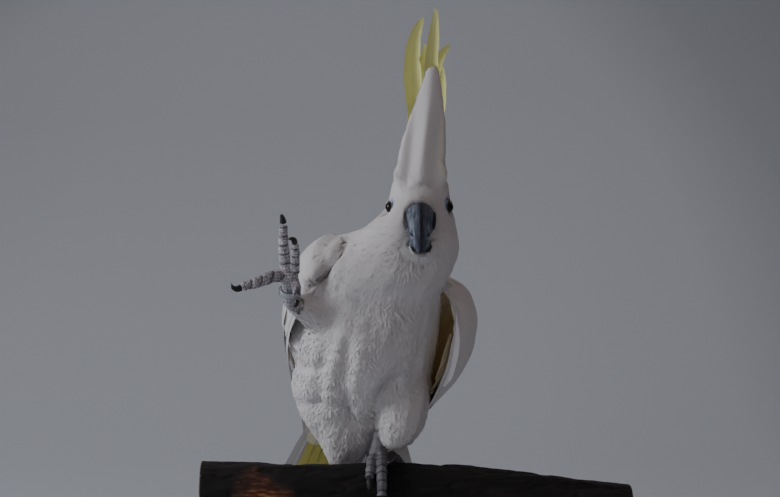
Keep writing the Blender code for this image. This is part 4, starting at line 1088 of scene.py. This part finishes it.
TRUNK_MIDDLE = Vector((MIDLINE, 0.005, PERCH_TOP + 0.084))
BODY_ROLL = radians(14.7)
LEFTWARDS = Vector((cos(BODY_ROLL), 0.0, -sin(BODY_ROLL)))
LEFTWARDS = (LEFTWARDS - BODY_AXIS * LEFTWARDS.dot(BODY_AXIS)).normalized()
BACKWARDS = BODY_AXIS.cross(LEFTWARDS)
# Along the trunk; out to the side; back; the way it faces in degrees; half its arc; bend radius; thickness;
# how much further out the left wing stands; how much further round in front the left and right wings reach.
WING_ROWS = np.array((
    (0.085, 0.0440, 0.0120, 18, 0.006, 0.040, 0.0060, 0.003, 0.004, 0.020),
    (0.077, 0.0495, 0.0150, 21, 0.020, 0.040, 0.0100, 0.006, 0.006, 0.021),
    (0.060, 0.0545, 0.0210, 27, 0.038, 0.044, 0.0120, 0.011, 0.008, 0.016),
    (0.030, 0.0550, 0.0270, 33, 0.051, 0.047, 0.0115, 0.015, 0.009, 0.004),
    (0.000, 0.0500, 0.0290, 37, 0.050, 0.047, 0.0095, 0.012, 0.009, 0.001),
    (-0.030, 0.0385, 0.0310, 42, 0.043, 0.046, 0.0080, 0.005, 0.006, 0.0),
    (-0.060, 0.0270, 0.0290, 49, 0.030, 0.048, 0.0064, 0.002, 0.003, 0.0),
    (-0.090, 0.0175, 0.0245, 58, 0.022, 0.058, 0.0050, 0.001, 0.0, 0.0),
    (-0.120, 0.0130, 0.0190, 68, 0.017, 0.080, 0.0040, 0.001, 0.0, 0.0),
    (-0.150, 0.0105, 0.0130, 76, 0.012, 0.120, 0.0030, 0.001, 0.0, 0.0),
    (-0.176, 0.0090, 0.0085, 80, 0.006, 0.160, 0.0022, 0.0, 0.0, 0.0),
))
LEFT_DROP = 0.013
# The same rows, closer together and evened, so that the wing's outline has no corners.
WING_TABLE = np.linspace(WING_ROWS[-1, 0], WING_ROWS[0, 0], 120)
WING_TABLE = np.stack([WING_TABLE] + [
    np.interp(WING_TABLE, WING_ROWS[::-1, 0], WING_ROWS[::-1, k]) for k in range(1, 10)], axis=1)
WING_EVENING = 70
for _ in range(WING_EVENING):
    WING_TABLE[1:-1] = (WING_TABLE[:-2] + 2 * WING_TABLE[1:-1] + WING_TABLE[2:]) / 4


def wing_place(side, along, across, above):
    """Points and outward directions on a wing's outer face; across runs from -1 in front to 1 behind."""
    rows = WING_TABLE
    where = along + (LEFT_DROP if side > 0 else 0.0)
    out, back, faces, half, bend, thick, stand, left_wrap, right_wrap = (
        np.interp(where, rows[:, 0], rows[:, k]) for k in range(1, 10))
    wrap = left_wrap if side > 0 else right_wrap
    if side > 0:
        out = out + stand
    faces = np.radians(faces)
    left, rear, axis = np.array(LEFTWARDS), np.array(BACKWARDS), np.array(BODY_AXIS)
    outward = left * (side * np.cos(faces))[:, None] + rear * np.sin(faces)[:, None]
    sideways = left * (-side * np.sin(faces))[:, None] + rear * np.cos(faces)[:, None]
    turn = ((half + wrap / 2) * across - wrap / 2) / bend
    place = np.array(TRUNK_MIDDLE) + axis * along[:, None]
    place = place + left * (side * out)[:, None] + rear * back[:, None]
    normal = outward * np.cos(turn)[:, None] + sideways * np.sin(turn)[:, None]
    place = place + sideways * (bend * np.sin(turn))[:, None]
    place = place + outward * (bend * (np.cos(turn) - 1))[:, None]
    lift = 0.5 * thick * (0.25 + 0.75 * np.sqrt(np.clip(1 - across ** 2, 0, 1))) + above
    place = place + normal * lift[:, None]
    if side > 0:
        place[:, 0] += wing_sway(place)
    return place, normal, half + wrap / 2


def wing_vane(side, root, tip, half, depth, outline=FLIGHT_OUTLINE, outer=0.5, steps=22, under=0.35, bow=0.0):
    """A feather on the wing from root to tip, both (along, across), its end a little under the one above."""
    share = np.linspace(0, 1, steps)
    along = root[0] + (tip[0] - root[0]) * share
    across = root[1] + (tip[1] - root[1]) * share + bow * np.sin(pi * share)
    above = np.interp(share, (0, 1), depth)
    if side > 0:
        along = along - LEFT_DROP
    line, normal, half_arc = wing_place(side, along, across, above)
    room = half_arc * (1.08 - np.abs(across)) + 0.0012
    one, other = (1.0, outer) if side > 0 else (outer, 1.0)
    return vane(line, normal, half, outline, left=one, right=other, camber=24.0, thick=0.0005, shaft=0.0005,
                split=0.12, yellow_under=under, limit=room)


for side, word in ((1, "left"), (-1, "right")):
    flights = []
    for k in range(9):
        share = k / 8
        flights.append(wing_vane(side, (0.012 - 0.010 * share, -0.78 + 0.62 * share),
                                 (-0.180 + 0.092 * share ** 0.9, -0.45 + 0.55 * share), 0.0125,
                                 (-0.0030 + 0.0006 * share, -0.0008 - 0.0010 * share), outer=0.45, steps=26))
    for k in range(10):
        share = k / 9
        flights.append(wing_vane(side, (0.002 + 0.012 * share, -0.20 + 0.95 * share),
                                 (-0.092 + 0.036 * share ** 1.4, 0.10 + 0.72 * share), 0.0125,
                                 (-0.0026, -0.0006 - 0.0006 * share), outer=0.7))
    flights_piece = join_vanes(f"flight_feathers_{word}", flights, flight_plumage)
    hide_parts(f"wing_{word}_flight")
    coverts = []
    for k in range(12):
        share = k / 11
        tip = -0.040 + 0.014 * abs(share - 0.4) + 0.011 * chance.random()
        coverts.append(wing_vane(side, (0.030 - 0.006 * abs(share - 0.5), -0.66 + 1.52 * share),
                                 (tip, -0.70 + 1.54 * share), 0.0092, (-0.0016, 0.0001), COVERT_OUTLINE,
                                 outer=0.8, steps=16, under=0.2))
    for k in range(15):
        share = k / 14
        tip = -0.002 + 0.012 * abs(share - 0.5) + 0.011 * chance.random()
        coverts.append(wing_vane(side, (0.052 - 0.008 * abs(share - 0.5), -0.64 + 1.50 * share),
                                 (tip, -0.70 + 1.54 * share), 0.0076, (-0.0014, 0.0004), COVERT_OUTLINE,
                                 outer=0.9, steps=14, under=0.1))
    # Small edge feathers overlap all down the front edge.
    for k in range(44):
        share = k / 43
        at = 0.078 - 0.180 * share
        coverts.append(wing_vane(side, (at, -0.965 + 0.02 * chance.random()), (at - 0.026, -0.985),
                                 0.0036 - 0.0012 * share, (-0.0004, 0.0005), COVERT_OUTLINE, outer=0.9,
                                 steps=9, under=0.05))
    join_vanes(f"wing_coverts_{word}", coverts, flight_plumage)


def small_vane(line, faces, half, **how):
    """A small soft feather along line; it faces one way all along, or its own way at each point."""
    faces = np.broadcast_to(faces, line.shape)
    return vane(line, faces, half, COVERT_OUTLINE, thick=0.0004, shaft=0.0003, **how)


# Soft feathers of the armpit hang out between the right wing and the lifted thigh.
ARMPIT_FACES = unit(np.array((-0.55, -0.80, 0.15)))
armpit = []
for k in range(7):
    share = np.linspace(0, 1, 10)
    line = np.stack((-0.0650 - 0.0008 * k - 0.0036 * share,
                     -0.0130 - 0.0040 * np.sin(share * pi / 2) + 0.0009 * k,
                     PERCH_TOP + 0.1110 - 0.0007 * k - (0.029 - 0.0016 * k) * share), axis=1)
    armpit.append(small_vane(line, ARMPIT_FACES, 0.0026, camber=30.0, split=0.12))
join_vanes("armpit_feathers", armpit, flight_plumage)
# Small coverts line the inner face of the left wing.
lining = []
for row in range(5):
    for k in range(9):
        steps = 12
        start = 0.062 - 0.026 * row - 0.004 * chance.random()
        along = np.linspace(start, start - 0.040, steps) - LEFT_DROP
        across = np.full(steps, -0.93 + 0.15 * k + 0.05 * (row % 2))
        bulk = np.interp(along + LEFT_DROP, WING_TABLE[:, 0], WING_TABLE[:, 6])
        bulk *= 0.25 + 0.75 * np.sqrt(np.clip(1 - across ** 2, 0, 1))
        line, normal, half_arc = wing_place(1, along, across, -bulk - np.linspace(0.0004, 0.0016, steps))
        lining.append(small_vane(line, -normal, 0.0062, camber=20.0, split=0.1, limit=half_arc * 0.16 + 0.002,
                                 yellow_top=min(0.80 + 0.04 * k, 1.0), yellow_under=0.5))
join_vanes("wing_lining_left", lining, flight_plumage)
# The white feathers of its front edge turn towards the window. Their band: across, and above the branch.
EDGE_BAND = np.array(((0.0482, 0.1100), (0.0490, 0.0953), (0.0473, 0.0803), (0.0443, 0.0675),
                      (0.0400, 0.0560)))
EDGE_FACES = unit(np.array((-0.62, -0.76, 0.10)))
band_depth = [skin_surface["tree"].ray_cast(Vector((across, -1.0, PERCH_TOP + above)), Vector((0, 1, 0)))[0].y
              for across, above in EDGE_BAND]
edge_feathers = []
for k in range(15):
    at = np.linspace(0, 1, 12) * 0.30 + 0.70 * k / 14
    band = np.linspace(0, 1, len(EDGE_BAND))
    line = np.stack((np.interp(at, band, EDGE_BAND[:, 0]), np.interp(at, band, band_depth) - 0.0030,
                     np.interp(at, band, EDGE_BAND[:, 1]) + PERCH_TOP), axis=1)
    line += EDGE_FACES * np.linspace(-0.0006, 0.0006, 12)[:, None]
    half = 0.0042 * np.interp(k / 14, (0, 0.3, 0.85, 1), (0.30, 1, 1, 0.5))
    edge_feathers.append(small_vane(line, EDGE_FACES, half, camber=6.0, split=0.06))
# These feathers are painted whiter than the rest of the white plumage: painted light, standing in for the
# window's light falling on the band.
edge_plumage = feather_material(
    "edge_plumage", 620.0, (0.93, 0.92, 0.91), (0.90, 0.89, 0.87), YELLOW, 0.10, 0.0002, 0.60)
join_vanes("wing_edge_left", edge_feathers, edge_plumage)


# ---- tail ------------------------------------------------------------------------------------------------
# Twelve broad tail feathers spread in a low arched fan. They are white above, and yellow beneath on their
# inner webs. Coverts lap over their roots, above and below.

TAIL_BASE = Vector((-0.0245, 0.045, PERCH_TOP + 0.033))
TAIL_WAY = Vector((-0.107, 0.550, -0.830)).normalized()
TAIL_ACROSS = Vector((-TAIL_WAY.z, 0.0, TAIL_WAY.x)).normalized()
TAIL_UP = TAIL_ACROSS.cross(TAIL_WAY)
if TAIL_UP.y < 0:
    TAIL_UP = -TAIL_UP
TAIL_LENGTH = 0.172
TAIL_COUNT = 12


def tail_line(side, start, end, lift, steps):
    """A line down the tail's fan at a share of its half width, and how far it stands off it."""
    share = np.linspace(start, end, steps)
    out = side * (0.027 + 0.056 * np.clip(share, 0, 1) ** 0.8)
    arch = 0.009 * (1 - side * side) * (1 - 0.4 * share) + lift
    place = (np.array(TAIL_BASE) + np.array(TAIL_WAY) * (TAIL_LENGTH * share)[:, None]
             + np.array(TAIL_ACROSS) * out[:, None] + np.array(TAIL_UP) * arch[:, None])
    up = np.array(TAIL_UP) + np.array(TAIL_ACROSS) * (0.018 * side) * 10
    return place, np.tile(up, (steps, 1))


feathers = []
for k in range(TAIL_COUNT):
    side = 2 * (k + 0.5) / TAIL_COUNT - 1
    end = 1.0 - (0.012 + 0.022 * side * side) / TAIL_LENGTH * 0.6
    line, ups = tail_line(side * 0.93, -0.06, end, 0.0014 * (1 - abs(side)) + 0.0002 * k, 26)
    under = 0.10 if k >= 9 else 0.95
    made = vane(line, ups, 0.0098, TAIL_OUTLINE, camber=9.0, thick=0.0006, shaft=0.0003, split=0.03,
                yellow_under=under, yellow_edge=under)
    if k in (0, TAIL_COUNT - 1):
        # The outer web of the outermost feathers stays white beneath.
        yellow = made["yellow"].copy()
        outer = made["web"][..., 0] < 0.58 if k == TAIL_COUNT - 1 else made["web"][..., 0] > 0.42
        yellow[outer] = 0.0
        made["yellow"] = yellow
    feathers.append(made)
for first, last, lift, many in ((0.0, 0.34, 0.0030, 11), (-0.10, 0.20, 0.0048, 9)):
    for k in range(many):
        side = (2 * (k + 0.5) / many - 1) * 0.86
        line, ups = tail_line(side, first - 0.12, last + 0.05 * chance.random() - 0.05 * abs(side), lift, 14)
        feathers.append(vane(line, ups, 0.0080, TAIL_OUTLINE, camber=20.0, thick=0.0006, shaft=0.0004,
                             split=0.1))
# Long rump coverts hide where the body ends over the tail's root. Their line: back, and above the branch.
RUMP_LINE = np.array(((0.0535, 0.0801), (0.0600, 0.0661), (0.0645, 0.0515), (0.0680, 0.0420),
                      (0.0720, 0.0327), (0.0765, 0.0231), (0.0810, 0.0141)))
for row in range(2):
    for k in range(5 - row):
        at = np.linspace(0.22, 1.0 - 0.04 * chance.random(), 14) - 0.22 * row
        along = np.linspace(0, 1, len(RUMP_LINE))
        line = np.stack((-0.0215 + 0.0050 * (k + 0.5 * row) - 0.0180 * at,
                         np.interp(at, along, RUMP_LINE[:, 0]) + 0.0008 * row + 0.0003 * k,
                         PERCH_TOP + np.interp(at, along, RUMP_LINE[:, 1])), axis=1)
        feathers.append(vane(line, np.tile((0.0, 0.88, 0.47), (14, 1)), 0.0058, COVERT_OUTLINE, camber=16.0,
                             thick=0.0005, shaft=0.0004, split=0.1))
for k in range(11):
    side = (2 * (k + 0.5) / 11 - 1) * 0.80
    line, ups = tail_line(side, -0.10, 0.24 + 0.05 * chance.random() - 0.08 * abs(side), -0.0045, 14)
    feathers.append(vane(line, -ups, 0.0075, TAIL_OUTLINE, camber=20.0, thick=0.0006, shaft=0.0004, split=0.1,
                         yellow_top=0.35, yellow_under=0.1))
tail = join_vanes("tail_feathers", feathers, tail_plumage)
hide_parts("tail")


# ---- crest -----------------------------------------------------------------------------------------------
# Behind the tall white cone of the forehead stand seven long yellow plumes. Each is a trough of web that
# curls forward at its end.

# Each plume: its root; how far it leans to the left and back, in degrees; its length and half width; how far
# its tip turns left; and how much it curls forward.
CREST = (
    (1, (0.0240, -0.0655, 0.2190), 4.6, -1.0, 0.1160, 0.0049, 0.000, 0.05),
    (2, (0.0225, -0.0605, 0.2170), -5.6, 3.0, 0.1140, 0.0062, 0.013, 0.10),
    (3, (0.0235, -0.0560, 0.2170), 5.0, 8.0, 0.0960, 0.0055, 0.012, 0.12),
    (4, (0.0215, -0.0520, 0.2160), 2.6, 16.0, 0.1020, 0.0057, 0.000, 0.14),
    (5, (0.0295, -0.0470, 0.2110), 5.0, 26.0, 0.1000, 0.0062, 0.000, 0.16),
    (6, (0.0180, -0.0420, 0.2090), 1.0, 37.0, 0.0960, 0.0060, 0.000, 0.18),
    (7, (0.0230, -0.0370, 0.2060), 3.0, 48.0, 0.0860, 0.0057, 0.000, 0.20),
)
for number, root, lean_left, lean_back, length, half, tip_left, curl in CREST:
    share = np.linspace(0, 1, 30)
    rise = length * share
    left, back = radians(lean_left), radians(lean_back)
    forward = curl * share ** 2.6 * length
    line = np.stack((
        root[0] + rise * sin(left) + tip_left * share ** 6,
        root[1] + rise * sin(back) - forward,
        PERCH_TOP + root[2] + rise * cos(back) * cos(left) - 0.35 * forward * share,
    ), axis=1)
    ahead = unit(np.gradient(line, axis=0))
    sideways = unit(np.array((1.0, 0, 0)) - ahead[:, :1] * ahead)
    facing = np.cross(sideways, ahead)
    plume = join_vanes(f"crest_feather_{number}", [
        vane(line, -facing, half * 1.04, CREST_OUTLINE, camber=235.0, thick=0.0005, shaft=0.0005, split=0.35,
             yellow_top=1.0, yellow_under=1.0)], crest_plumage)
    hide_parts(f"crest_plume_{number}")


# ---- bill ------------------------------------------------------------------------------------------------
# The bill is slate-grey horn, matt and faintly streaked along its curve, with a blacker ridge. A black rim
# borders it, partly bare skin and partly painted shade where the bill meets the feathers, and the two
# nostrils lie in it. The cutting edge has a notch on each side of the hook; notches and nostrils are sunk and
# painted black, as painted shade in their hollows, and a paler line along the edge is a painted highlight.

HINGE = Vector((HEAD_X, -0.0800, PERCH_TOP + 0.1700))
bill = copy_of(["bill_upper"], "upper_bill", grow=0.0001)
remeshed(bill, 0.00045, 8)
bill_points = points_of(bill.data)
bill_normals = normals_of(bill.data)
from_hinge = bill_points - np.array(HINGE)
angle = np.degrees(np.arctan2(-from_hinge[:, 1], from_hinge[:, 2]))
radius = np.hypot(from_hinge[:, 1], from_hinge[:, 2])
STATION_ANGLE = (4, 28, 54, 78, 98, 114, 125, 131)
inner = np.interp(angle, STATION_ANGLE, (0.004, 0.004, 0.004, 0.0055, 0.0095, 0.0135, 0.0165, 0.0195))
outer = np.interp(angle, STATION_ANGLE, (0.0215, 0.0262, 0.0274, 0.0272, 0.0257, 0.024, 0.0224, 0.0200))
half = np.interp(angle, STATION_ANGLE, (0.009, 0.0106, 0.0107, 0.0094, 0.0068, 0.0046, 0.0027, 0.0006))
width_share = np.abs(from_hinge[:, 0]) / half
behind = ((inner + outer) / 2 - radius) / 0.0016
# The black rim along the sides, top and back is partly bare skin and partly painted shade where the bill
# meets the feathers; the notches and nostrils are painted black as painted shade in their hollows.
side_rim = np.clip((width_share - 0.84) / 0.08, 0, 1) * np.clip((86 - angle) / 8, 0, 1)
top_rim = np.clip((37 - angle) / 4, 0, 1)
back_rim = np.clip(behind + 1.1, 0, 1) * np.clip((106 - angle) / 6, 0, 1)
rim = np.maximum(np.maximum(side_rim, top_rim), back_rim)
notch = np.exp(-((angle - 94.5) / 3.0) ** 2 - ((width_share - 0.84) / 0.13) ** 2)
# The pale edge line along the cutting edge is a painted highlight.
lip = np.exp(-((angle - 99.5) / 2.0) ** 2 - ((width_share - 0.88) / 0.20) ** 2)
lip += 0.6 * np.exp(-((angle - 93) / 4.0) ** 2 - ((width_share - 0.60) / 0.06) ** 2)
nostril = np.exp(-((angle - 24) / 5.0) ** 2 - ((width_share - 0.80) / 0.10) ** 2)
keel = bell((from_hinge[:, 0] - 0.0010) / 0.0029) * np.clip((angle - 20) / 20, 0, 1)
grain = noise_at(bill_points * np.array((1.0, 0.25, 0.25), np.float32), 900.0, 1.0, 3)
sink = 0.0012 * notch - 0.0003 * lip + 0.0012 * nostril - 0.0005 * keel + 0.00006 * grain
sink -= 0.0011 * np.maximum(side_rim, 0.5 * top_rim) * np.clip(behind + 1.6, 0, 1)
bill_points = bill_points - bill_normals * sink[:, None].astype(np.float32)
move_points(bill.data, bill_points)
write_values(bill.data, "rim", np.clip(rim + nostril * 1.5 + notch * 1.6, 0, 1))
write_values(bill.data, "keel", keel)
write_values(bill.data, "edge", lip)

bill_horn, tree, shader = new_material("bill_horn", 0.5, Specular_IOR_Level=0.35)
streaks = object_noise(tree, 900.0, 5.0, 0.6, stretch=(1.0, 0.16, 0.13))
streaked = ramp(tree, streaks, (0.28, (0.042, 0.052, 0.075)), (0.48, (0.130, 0.155, 0.205)),
                (0.72, (0.360, 0.410, 0.500)))
clouds = ramp(tree, object_noise(tree, 160.0, 4.0), (0.3, (0.45, 0.48, 0.52)), (0.7, 1.0))
colour = mixed(tree, 0.45, streaked, clouds, blend_type="MULTIPLY")
# The edge colour is a paler grey: a painted highlight along the upper bill's cutting edge, and laid evenly
# over the lower bill. The rim colour is black, partly skin and partly painted shade.
for attribute, strength, tone in (("keel", 0.88, (0.014, 0.016, 0.022)), ("edge", 0.85, (0.36, 0.39, 0.43)),
                                  ("rim", 0.97, (0.010, 0.010, 0.012))):
    mask = add_node(tree, "ShaderNodeMath", {0: values_of(tree, attribute), 1: strength},
                    operation="MULTIPLY", use_clamp=True)
    colour = mixed(tree, mask.outputs[0], colour, (*tone, 1.0))
feed(tree, shader, Base_Color=colour, Roughness=ramp(tree, streaks, (0.3, 0.42), (0.8, 0.60)))
bumped(tree, shader, streaks, 0.25, 0.0002)
bill.data.materials.append(bill_horn)
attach(bill, "root")
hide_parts("bill_upper")

lower_bill = copy_of(["bill_lower"], "lower_bill", grow=0.0001)
remeshed(lower_bill, 0.00045, 6)
lower_bill.data.materials.append(bill_horn)
write_values(lower_bill.data, "edge", np.full(len(lower_bill.data.vertices), 0.4))
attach(lower_bill, "root")
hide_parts("bill_lower")


# ---- eyes ------------------------------------------------------------------------------------------------
# Each glass eye is nearly black, with a dark brown iris round a black pupil, and bulges a little in front. It
# is set in the pale blue bare skin, whose lids fit close round it.

def from_point(tree, place, middle_point, far):
    """A share that is 0 at a point and 1 as far away as far."""
    away = add_node(tree, "ShaderNodeVectorMath", {0: place, 1: middle_point}, operation="DISTANCE")
    values = {"Value": away.outputs["Value"], "From Min": 0.0, "From Max": far}
    return add_node(tree, "ShaderNodeMapRange", values).outputs["Result"]


def set_along(obj, place, way):
    """Puts an object at a place, its upright axis turned to point along way."""
    obj.matrix_world = Matrix.Translation(place) @ way.to_track_quat("Z", "Y").to_matrix().to_4x4()


CORNEA_START = 0.55
CORNEA_BULGE = EYE_RADIUS * 0.04
for side, eye in EYES.items():
    bpy.ops.mesh.primitive_uv_sphere_add(segments=48, ring_count=24, radius=EYE_RADIUS * 0.97)
    ball = bpy.context.object
    for vertex in ball.data.vertices:
        ahead = vertex.co.z / EYE_RADIUS
        if ahead > CORNEA_START:
            vertex.co.z += CORNEA_BULGE * ((ahead - CORNEA_START) / 0.45) ** 1.5
    set_along(ball, eye, EYE_SIDE[side])
    glass, tree, shader = new_material(f"eye_{side}", 0.04, Specular_IOR_Level=0.28)
    middle_of_iris = eye + EYE_SIDE[side] * EYE_RADIUS
    near = from_point(tree, object_place(tree), middle_of_iris, 0.006)
    feed(tree, shader, Base_Color=ramp(
        tree, near, (0.0, 0.002), (0.36, (0.003, 0.0025, 0.002)), (0.42, (0.016, 0.010, 0.007)),
        (0.64, (0.020, 0.012, 0.008)), (0.70, (0.006, 0.005, 0.005))))
    settle(ball, f"eyeball_{side}", glass, smooth=60)
    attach(ball, "root")
    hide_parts(f"eye_{side}")


# ---- leg ring --------------------------------------------------------------------------------------------
# A plain closed ring of bright metal hangs loose on the lifted ankle. It is smooth, with rounded edges and
# fine scratches, and carries no mark.

RING_AXIS = Vector((0.08, -0.55, 0.83)).normalized()
RING_RADIUS = 0.0069
RING_HEIGHT = 0.0052
RING_WALL = 0.0008
bpy.ops.mesh.primitive_cylinder_add(
    vertices=64, radius=RING_RADIUS, depth=RING_HEIGHT, end_fill_type="NOTHING")
band = bpy.context.object
wall = band.modifiers.new("wall", "SOLIDIFY")
wall.thickness = RING_WALL
wall.offset = -1
rounding = band.modifiers.new("rounding", "BEVEL")
rounding.width = 0.00022
rounding.segments = 3
set_along(band, middle("leg_ring"), RING_AXIS)
ring_metal, tree, shader = new_material("ring_metal", 0.25, Metallic=1.0)
scratches = object_noise(tree, 1600.0, 4.0, stretch=(1.0, 1.0, 0.1))
feed(tree, shader, Base_Color=ramp(tree, scratches, (0.3, (0.55, 0.57, 0.60)), (0.7, (0.78, 0.80, 0.82))),
     Roughness=ramp(tree, scratches, (0.3, 0.18), (0.8, 0.36)))
bumped(tree, shader, scratches, 0.1, 0.0001)
settle(band, "ankle_ring", ring_metal)
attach(band, "root")
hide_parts("leg_ring")

# ---- studio ----------------------------------------------------------------------------------------------
# A seamless pale grey-blue sweep stands far behind the stand on every side, under soft light from the upper
# left and a weak warm fill from the right. The camera is level with the bird's breast.

SWEEP_RADIUS = 5.2
SWEEP_CURVE = 3.0
SWEEP_HEIGHT = 5.0
CURVE_STEPS = 12
flat_radius = SWEEP_RADIUS - SWEEP_CURVE
outline = [(0.0, 0.0), (flat_radius, 0.0)]
for step in range(1, CURVE_STEPS + 1):
    turn = pi / 2 * step / CURVE_STEPS
    outline.append((flat_radius + SWEEP_CURVE * sin(turn), SWEEP_CURVE * (1 - cos(turn))))
outline.append((SWEEP_RADIUS, SWEEP_HEIGHT))
sweep_mesh = bpy.data.meshes.new("studio_sweep")
sweep_mesh.from_pydata([(x, 0.0, z) for x, z in outline], [(k, k + 1) for k in range(len(outline) - 1)], [])
sweep = new_object("studio_sweep", sweep_mesh)
pick(sweep)
bpy.ops.object.mode_set(mode="EDIT")
bpy.ops.mesh.select_all(action="SELECT")
bpy.ops.mesh.spin(steps=96, angle=2 * pi, center=(0, 0, 0), axis=(0, 0, 1))
bpy.ops.mesh.select_all(action="SELECT")
bpy.ops.mesh.remove_doubles(threshold=0.0001)
bpy.ops.mesh.normals_make_consistent(inside=True)
bpy.ops.object.mode_set(mode="OBJECT")
paint, tree, shader = new_material("sweep_paint", 0.85)
# The paint is brightest low in the middle and darker towards the corners: a painted pool of light, with
# painted shade where the light would fall off across the sweep.
flat = add_node(tree, "ShaderNodeVectorMath", {0: object_place(tree), 1: (1.0, 0.0, 1.0)},
                operation="MULTIPLY")
painted_light_falloff = from_point(tree, flat.outputs["Vector"], (-0.22, 0.0, 0.25), 1.6)
feed(tree, shader, Base_Color=ramp(
    tree, painted_light_falloff, (0.30, (0.600, 0.665, 0.730)), (0.53, (0.560, 0.620, 0.685)),
    (0.68, (0.410, 0.458, 0.508)), (0.90, (0.330, 0.370, 0.410))))
bumped(tree, shader, object_noise(tree, 90.0, 3.0), 0.05, 0.0008)
settle(sweep, "studio_sweep", paint)


def soft_light(name, place, aim, size, power, colour):
    data = bpy.data.lights.new(name, "AREA")
    data.shape = "DISK"
    data.size = size
    data.energy = power
    data.color = colour
    lamp = new_object(name, data)
    lamp.location = place
    lamp.rotation_euler = (Vector(aim) - Vector(place)).to_track_quat("-Z", "Y").to_euler()


HEART = (0.0, 0.0, 0.30)
soft_light("window", (-2.8, -0.55, 1.15), HEART, 1.9, 50.0, (0.92, 0.94, 1.0))
soft_light("window_edge", (-1.7, -2.2, 0.60), HEART, 0.24, 3.6, (0.96, 0.94, 1.0))
soft_light("fill", (1.2, -2.6, 0.6), HEART, 1.6, 2.6, (1.0, 0.74, 0.64))
soft_light("wall_wash", (-0.2, 2.4, 3.2), (-0.1, 5.6, 0.3), 2.0, 10.0, (1.0, 0.98, 0.98))
soft_light("back_glow", (-0.6, 2.4, 2.4), HEART, 1.6, 6.0, (0.95, 0.98, 1.0))
world = bpy.data.worlds.new("studio_air")
bpy.context.scene.world = world
world.use_nodes = True
air = world.node_tree.nodes["Background"]
air.inputs["Color"].default_value = (1.0, 0.78, 0.74, 1.0)
air.inputs["Strength"].default_value = 0.24

# The frame is 0.585 m wide at the bird, two metres away.
SENSOR_WIDTH = 36.0
FRAME_WIDTH = 0.585
CAMERA_AWAY = 2.0
lens = bpy.data.cameras.new("camera")
lens.sensor_width = SENSOR_WIDTH
lens.lens = SENSOR_WIDTH * CAMERA_AWAY / FRAME_WIDTH
lens.clip_end = 40.0
camera = new_object("camera", lens)
camera.location = (0.0, -CAMERA_AWAY, 0.332)
camera.rotation_euler = (pi / 2, 0.0, 0.0)
bpy.context.scene.camera = camera
